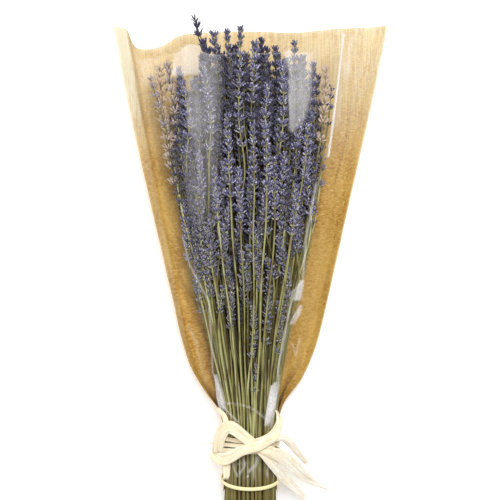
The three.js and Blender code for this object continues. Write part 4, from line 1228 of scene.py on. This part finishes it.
def paper_relief(u, height, x, y):
    """How far the paper stands off its smooth shape: pleats at the neck, bends, dents, a wavy top."""
    pleats = np.sin(u * PLEATS + 2.5 * waves(u, height, 1.5, 0.004, 3)) * bell(height, 34, 34)
    relief = 1.5 * pleats * smooth(height, 12, 30)
    relief += sum(bends(u, height, *row) for row in PAPER_BENDS) * smooth(height, 26, 60)
    relief += bends(u, height, *TOP_BENDS) * smooth(height, 300, 365)
    relief *= smooth(np.abs(u), *RAISED_SIDES)
    return relief + sum(depth * near_line(x, y, line, width) for depth, width, line in PAPER_DENTS)


def paper_marks(u, height, x, y):
    """Painted light on the paper, at its left hem, right edge, right side, top and light folds, and painted
    shade in its pleats, hem fold and dark folds.
    """
    hem_line = np.interp(height, *HEM_LINE)
    # painted light on the left hem's raised strip, and on the right edge
    hem = smooth(-u, hem_line, hem_line + 0.02) * between(0.2, 0.75, smooth(height, 250, 345))
    light = hem * smooth(height, 40, 120) + 0.4 * smooth(u, 0.985, 0.998)
    light += sum(strength * smooth(height, *rise) for strength, *rise in TOP_PAINTED_LIGHT)
    # painted light on the right side, towards the top
    light += 0.1 * smooth(u, -0.2, 0.9) * smooth(height, 200, 330)
    # masks for painted shade: the hem's inner fold and the gather's pleats
    hem_fold_shade = bell(u, 0.01 - hem_line, 0.012) * smooth(height, 60, 120)
    gather_shade = bell(height, 30, 26) * (0.5 - 0.5 * np.sin(u * PLEATS)) * smooth(np.abs(u), *RAISED_SIDES)
    shade = 0.45 * hem_fold_shade * between(0.5, 1, smooth(height, 200, 300))
    shade += 0.7 * gather_shade * smooth(height, 16, 30)
    # folds: painted shade, or painted light where the strength is below 0
    for strength, width, line in PAPER_FOLDS:
        fold = strength * near_line(x, y, line, width)
        shade += np.maximum(fold, 0)
        light -= np.minimum(fold, 0)
    return {"light": light, "shade": shade}


def kraft_back():
    low, high = (np.linspace(*rows) for rows in PAPER_ROWS)
    u, height = np.meshgrid(np.linspace(-1, 1, PAPER_COLUMNS), [*low[:-1], *high])
    points = paper_point(u, height)
    points[..., 1] = top_edge(PAPER_TOP, u, height, PAPER_LAST)
    proud = paper_relief(u, height, points[..., 0], points[..., 1]) + PAPER_THICKNESS / 2
    points = points + grid_normals(points) * proud[..., None]
    points[..., 2] = np.maximum(points[..., 2], 0.2)
    marks = paper_marks(u, height, points[..., 0], points[..., 1])
    piece = sheet_object("kraft_paper_back", points, SHEETS["paper"], kraft_finish, marks)
    handed_in(piece, "kraft_paper", "kraft_paper")


def film_relief(u, height):
    """How far the film stands off its smooth shape: pleats at the neck, free bends, one long crease."""
    free_span = smooth(np.abs(u), 0.5, 0.66) * (1 - smooth(np.abs(u), 0.93, 1))
    pleats = np.sin(u * FILM_PLEATS + 3 * waves(u, height, 2, 0.006, 5)) * bell(height, 30, 45)
    bent = bends(u, height, *FILM_BENDS["free"]) * free_span + bends(u, height, *FILM_BENDS["all"])
    crease = bell(u, 0.765, 0.012) * smooth(height, 215, 240)
    return 0.9 * pleats * smooth(height, 14, 30) + bent * smooth(height, 30, 80) + 2.6 * crease


def film_haze(height, x, y):
    """Where the film is whitish, as painted reflections and whiter folds: its top edge, panels, lines and the
    crumpled part below the tie.
    """
    reflection_and_fold_white = 0.09 * smooth(height, 346.5, 348)
    uneven = 1 + 0.7 * waves(x, y, 0.14, 0.02, 19)
    for edge, rows in REFLECTION_PANELS:
        reflection_and_fold_white += uneven * in_panel(x, y, rows, edge)
    for strength, width, line in HIGHLIGHT_AND_FOLD_LINES:
        reflection_and_fold_white += strength * near_line(x, y, line, width)
    # painted highlights on the crinkled film below the tie, over a faint even veil
    patches = smooth(waves(x, y, 0.1, 0.1, 7), -0.2, 0.3)
    crinkles = smooth(np.abs(waves(x, y, 0.25, 0.08, 31)), 0.1, 0.0) * patches
    return reflection_and_fold_white + (0.14 * crinkles + 0.012) * bell(y, -14, 16) * bell(x, 0, 24)


def film_front():
    columns, rows = FILM_GRID
    u, height = np.meshgrid(np.linspace(-1, 1, columns), np.linspace(FILM_FIRST, FILM_LAST, rows))
    points = film_point(u, height)
    points[..., 1] = top_edge(FILM_TOP, u, height, FILM_LAST)
    points = points + grid_normals(points) * film_relief(u, height)[..., None]
    reflection_and_fold_white = film_haze(height, points[..., 0], points[..., 1])
    piece = sheet_object("clear_film_front", points, SHEETS["film"], film_finish, {"reflection_and_fold_white": reflection_and_fold_white})
    handed_in(piece, "clear_film", "clear_film")


# ---- Tie and band -------------------------------------------------------------------------------

# Ribbons of raffia: x, height, z and width along the middle of each.
RIBBONS = {
    "loop_and_wide_tail": [
        (-27.1, -5.6, 37, 7.5), (-27.4, 1.1, 40, 8.4), (-26.5, 8.4, 42, 9), (-24.2, 15, 44, 9),
        (-21, 19.6, 45.5, 9.4), (-16.4, 20.6, 46, 9.6), (-11.2, 17.8, 46, 9.2), (-6.1, 13.8, 46, 9),
        (0, 8.6, 45.5, 8.8), (6.9, 3.4, 45, 8.2), (15.6, -0.5, 45, 9.4), (28.7, -8.2, 39, 10.6),
        (40.5, -19.3, 30, 9.4), (52.4, -30.1, 21, 6.4), (63.5, -37.3, 15, 3.6), (72.8, -41.8, 11, 2.4)],
    "lower_strand": [
        (-32.5, -1.1, 33, 6.2), (-29.7, -6.5, 37, 7.4), (-23, -8, 40.5, 8.6), (-16, -4.8, 44, 8.6),
        (-8.2, -0.1, 47, 8.4), (0, 2.2, 48, 8.2), (7.8, 4.5, 48.5, 8), (14.7, 8.3, 48, 7.4),
        (20.7, 11.3, 46, 6.1), (24.3, 16.8, 42.5, 4.8), (25.7, 24.3, 38, 4.3), (24.5, 30.6, 34, 3.9),
        (21.6, 33.6, 28, 3.5)],
    "long_tail": [
        (5.2, 4.5, 44, 7), (11.3, -2.5, 44, 7.6), (18.9, -12.9, 39.5, 7.8), (29, -25.1, 30, 7.6),
        (39.1, -37.2, 21, 7), (46.5, -46.7, 15, 6.1), (53, -53.9, 11, 4.3)],
    "thin_tail": [
        (15.6, 7.3, 45, 5.2), (22.5, 10.1, 44, 5.2), (28.7, 10, 41, 5.7), (34.1, 5.8, 37, 6.1),
        (39.6, -1.5, 31, 5.7), (46.1, -10.4, 24, 4.8), (52.2, -19.1, 17, 2.6)],
    "thin_strand": [
        (3.5, 8.1, 42.5, 2.2), (10.4, 9.9, 43, 2.6), (17.4, 13.6, 42, 2.6), (21.8, 18.5, 40, 2.6),
        (24.9, 26.5, 36, 2.2), (22.9, 33, 30, 1.7)],
    "left_edge": [
        (-30.1, 33.4, 24, 3), (-26, 31, 28, 3.5), (-22.8, 27.6, 32, 3.9), (-21, 22.2, 36, 4.3),
        (-22.7, 14.7, 38, 3.9)],
    "short_end": [(-20.8, -3, 39, 6), (-20.7, -14, 38.6, 6), (-20.1, -28, 37.4, 4.6)],
    "loose_fibre": [(-50, 2, 33, 0.5), (-41.1, 3.8, 35, 0.5), (-31.4, 4.7, 37, 0.6)],
}
# Turns round the neck: height, tilt in degrees, width.
RING_TURNS = [(8.2, 4, 3.6), (2, -3, 3.4), (-4.2, -7, 4.6)]
STRAND_WIDTH = 4.4
RIBBON_THICKNESS = 0.4
LANES = 11
TORN = 5
CURL = (0.8, 0.45)
LANE_WANDER = 0.09
LANE_WIDTHS = (1.05, 1.4)
RING_STANDOFF = 1.1
BAND = {"height": -29.2, "tilt": 17, "radius": 1.65, "standoff": 0.9}
BAND_PROFILE = {"points": 8, "groove": 0.94, "flatness": 0.5}


def ribbon(name, middle, along, width, side, normal, seed):
    """A flat ribbon with long creases, curled edges and torn ends, from its middle line's frame."""
    draw = np.random.default_rng(seed)
    v, s = np.meshgrid(np.linspace(-1, 1, LANES), along)
    torn = draw.uniform(0, TORN, LANES) * smooth(width.max(), 1, 6)
    slip = smooth(s, along[-1] - 14, along[-1]) * torn - smooth(-s, -9, 0) * torn[::-1]
    curl = CURL[0] * waves(0 * s, s, 1, 0.06, seed + 0.5) - CURL[1]
    relief = curl * v ** 2 + 0.55 * waves(v, s, 2.6, 0.035, seed) + 0.3 * waves(v, s, 7, 0.02, seed + 9)
    relief *= min(1.0, width.max() / 7)
    forward = np.gradient(middle, along, axis=0)
    points = (middle[:, None] + side[:, None] * (v * width[:, None] / 2)[..., None]
              + normal[:, None] * relief[..., None] - forward[:, None] * slip[..., None])
    # tint: random tone, and painted light on the tails towards their ends
    tone_and_tail_light = draw.uniform(0, 0.3) + 0.7 * ("tail" in name) * smooth(s, along[-1] - 75, along[-1] - 45)
    thickness = min(RIBBON_THICKNESS, width.min() / 3)
    return sheet_object(name, points, thickness, straw_finish, {"along": s, "across": v, "tint": tone_and_tail_light})


def free_ribbon(name, points, seed):
    """The strands that lie side by side and partly over each other along one run of points."""
    draw = np.random.default_rng(seed + 300)
    points = np.array(points, float)
    lengths = np.concatenate([[0], np.cumsum(np.linalg.norm(np.diff(points[:, :3], axis=0), axis=1))])
    along = np.linspace(0, lengths[-1], max(12, int(lengths[-1])))
    row = Run(lengths, points)(along)
    path, width = row[:, :3], row[:, 3]
    tangent = np.gradient(path, axis=0)
    side = unit(np.cross(tangent, (0, 0, 1)))
    normal = unit(np.cross(side, tangent))
    count = max(1, round(width.max() / STRAND_WIDTH))
    several = count > 1
    for strand in range(count):
        lane = (strand + 0.5) / count - 0.5
        wander = LANE_WANDER * np.sin(along / draw.uniform(9, 16) + draw.uniform(0, 6)) * several
        lift = 0.5 * (strand % 2) + 0.25 * np.sin(along / draw.uniform(10, 18) + draw.uniform(0, 6))
        middle = path + side * (width * (lane + wander))[:, None] + normal * (lift * several)[:, None]
        own = width / count * draw.uniform(*LANE_WIDTHS)
        frame_lines = (middle, along, own, side, normal)
        last = len(along) - (draw.integers(0, 9) if several else 0)
        yield ribbon(f"{name}_{strand}", *(line[:last] for line in frame_lines), seed * 10 + strand)


def neck_path(height, tilt, margin):
    """A tilted turn round the neck, and its outward directions."""
    turn = np.linspace(math.pi, math.pi * 3.02, 120)
    x, z = (NECK_WIDTH + margin) * np.sin(turn), (NECK_DEPTH + margin) * np.cos(turn)
    y = height - math.tan(math.radians(tilt)) * z
    out = unit(np.column_stack([np.sin(turn) / NECK_WIDTH, 0 * turn, np.cos(turn) / NECK_DEPTH]))
    return np.column_stack([NECK_MIDDLE + x, y, NECK_HEIGHT + z]), out


def neck_ribbon(name, height, tilt, width, seed):
    middle, out = neck_path(height, tilt, PAPER_MARGIN + RING_STANDOFF)
    along = np.arange(len(middle)) * 1.05
    side = np.tile([0.0, 1.0, 0.0], (len(middle), 1))
    return ribbon(name, middle, along, np.full(len(middle), width), side, out, seed)


def raffia_bow():
    pieces = [piece for number, (name, points) in enumerate(RIBBONS.items())
              for piece in free_ribbon(name, points, SEED + number)]
    pieces += [neck_ribbon(f"turn_{number}", *turn, SEED + 50 + number)
               for number, turn in enumerate(RING_TURNS)]
    handed_in(joined("raffia_bow", pieces), "raffia", "raffia_tie")


def stem_band():
    middle, out = neck_path(BAND["height"], BAND["tilt"], PAPER_MARGIN + BAND["standoff"])
    run = {"points": middle, "size": BAND["radius"], "facing": out, "along": np.arange(len(middle)),
           "tint": 0.0, "deep": 0.0}
    piece = strands("elastic_stem_band", [run], rubber_finish, **BAND_PROFILE)
    handed_in(piece, "elastic_band", "elastic_band")


# ---- Floor, light and camera --------------------------------------------------------------------

FOCUS_HEIGHT = 30.0
MM_PER_PIXEL = 0.88
CAMERA_DISTANCE = 900.0
PICTURE = 500
PICTURE_MIDDLE = 173.4
SKY = 0.42
LAMP_TARGET = (0, 0.05, 0)
# Soft lamps: place and size in metres, and power.
LAMPS = {
    "front_softbox": ((0.22, 0.5, 1.2), (0.45, 0.8), 15.0),
    "left_softbox": ((-0.8, 0.1, 0.9), (0.3, 1.2), 5.0),
}


def soft_lamp(name, place, size, power):
    data = bpy.data.lights.new(name, "AREA")
    data.shape = "RECTANGLE"
    data.size, data.size_y = size
    data.energy = power
    lamp = placed(name, data)
    lamp.location = place
    lamp.rotation_euler = (Vector(LAMP_TARGET) - Vector(place)).to_track_quat("-Z", "Y").to_euler()


def studio():
    scene = bpy.context.scene
    scene.view_settings.view_transform = "Standard"
    data = bpy.data.cameras.new("camera")
    data.sensor_fit = "HORIZONTAL"
    data.angle = 2 * math.atan(PICTURE * MM_PER_PIXEL / 2 / CAMERA_DISTANCE)
    scene.camera = placed("camera", data)
    scene.camera.location = in_frame((0, PICTURE_MIDDLE, FOCUS_HEIGHT + CAMERA_DISTANCE))
    scene.world = bpy.data.worlds.new("soft light")
    scene.world.use_nodes = True
    sky = scene.world.node_tree.nodes["Background"]
    sky.inputs["Color"].default_value = (1, 1, 1, 1)
    sky.inputs["Strength"].default_value = SKY
    for name, lamp in LAMPS.items():
        soft_lamp(name, *lamp)
    floor = mesh_object("floor", [(-4, -4, 0), (4, -4, 0), (4, 4, 0), (-4, 4, 0)], [(0, 1, 2, 3)])
    floor.data.materials.append(finish_of(
        "pale floor", lambda graph: {"Base Color": srgb(250, 250, 250)},
        **{"Roughness": 0.9, "Emission Color": (1, 1, 1, 1), "Emission Strength": 0.25}))


studio()
lavender_stalks()
flower_heads()
kraft_back()
film_front()
raffia_bow()
stem_band()
for shape in (calyx, bract):
    bpy.data.objects.remove(shape, do_unlink=True)
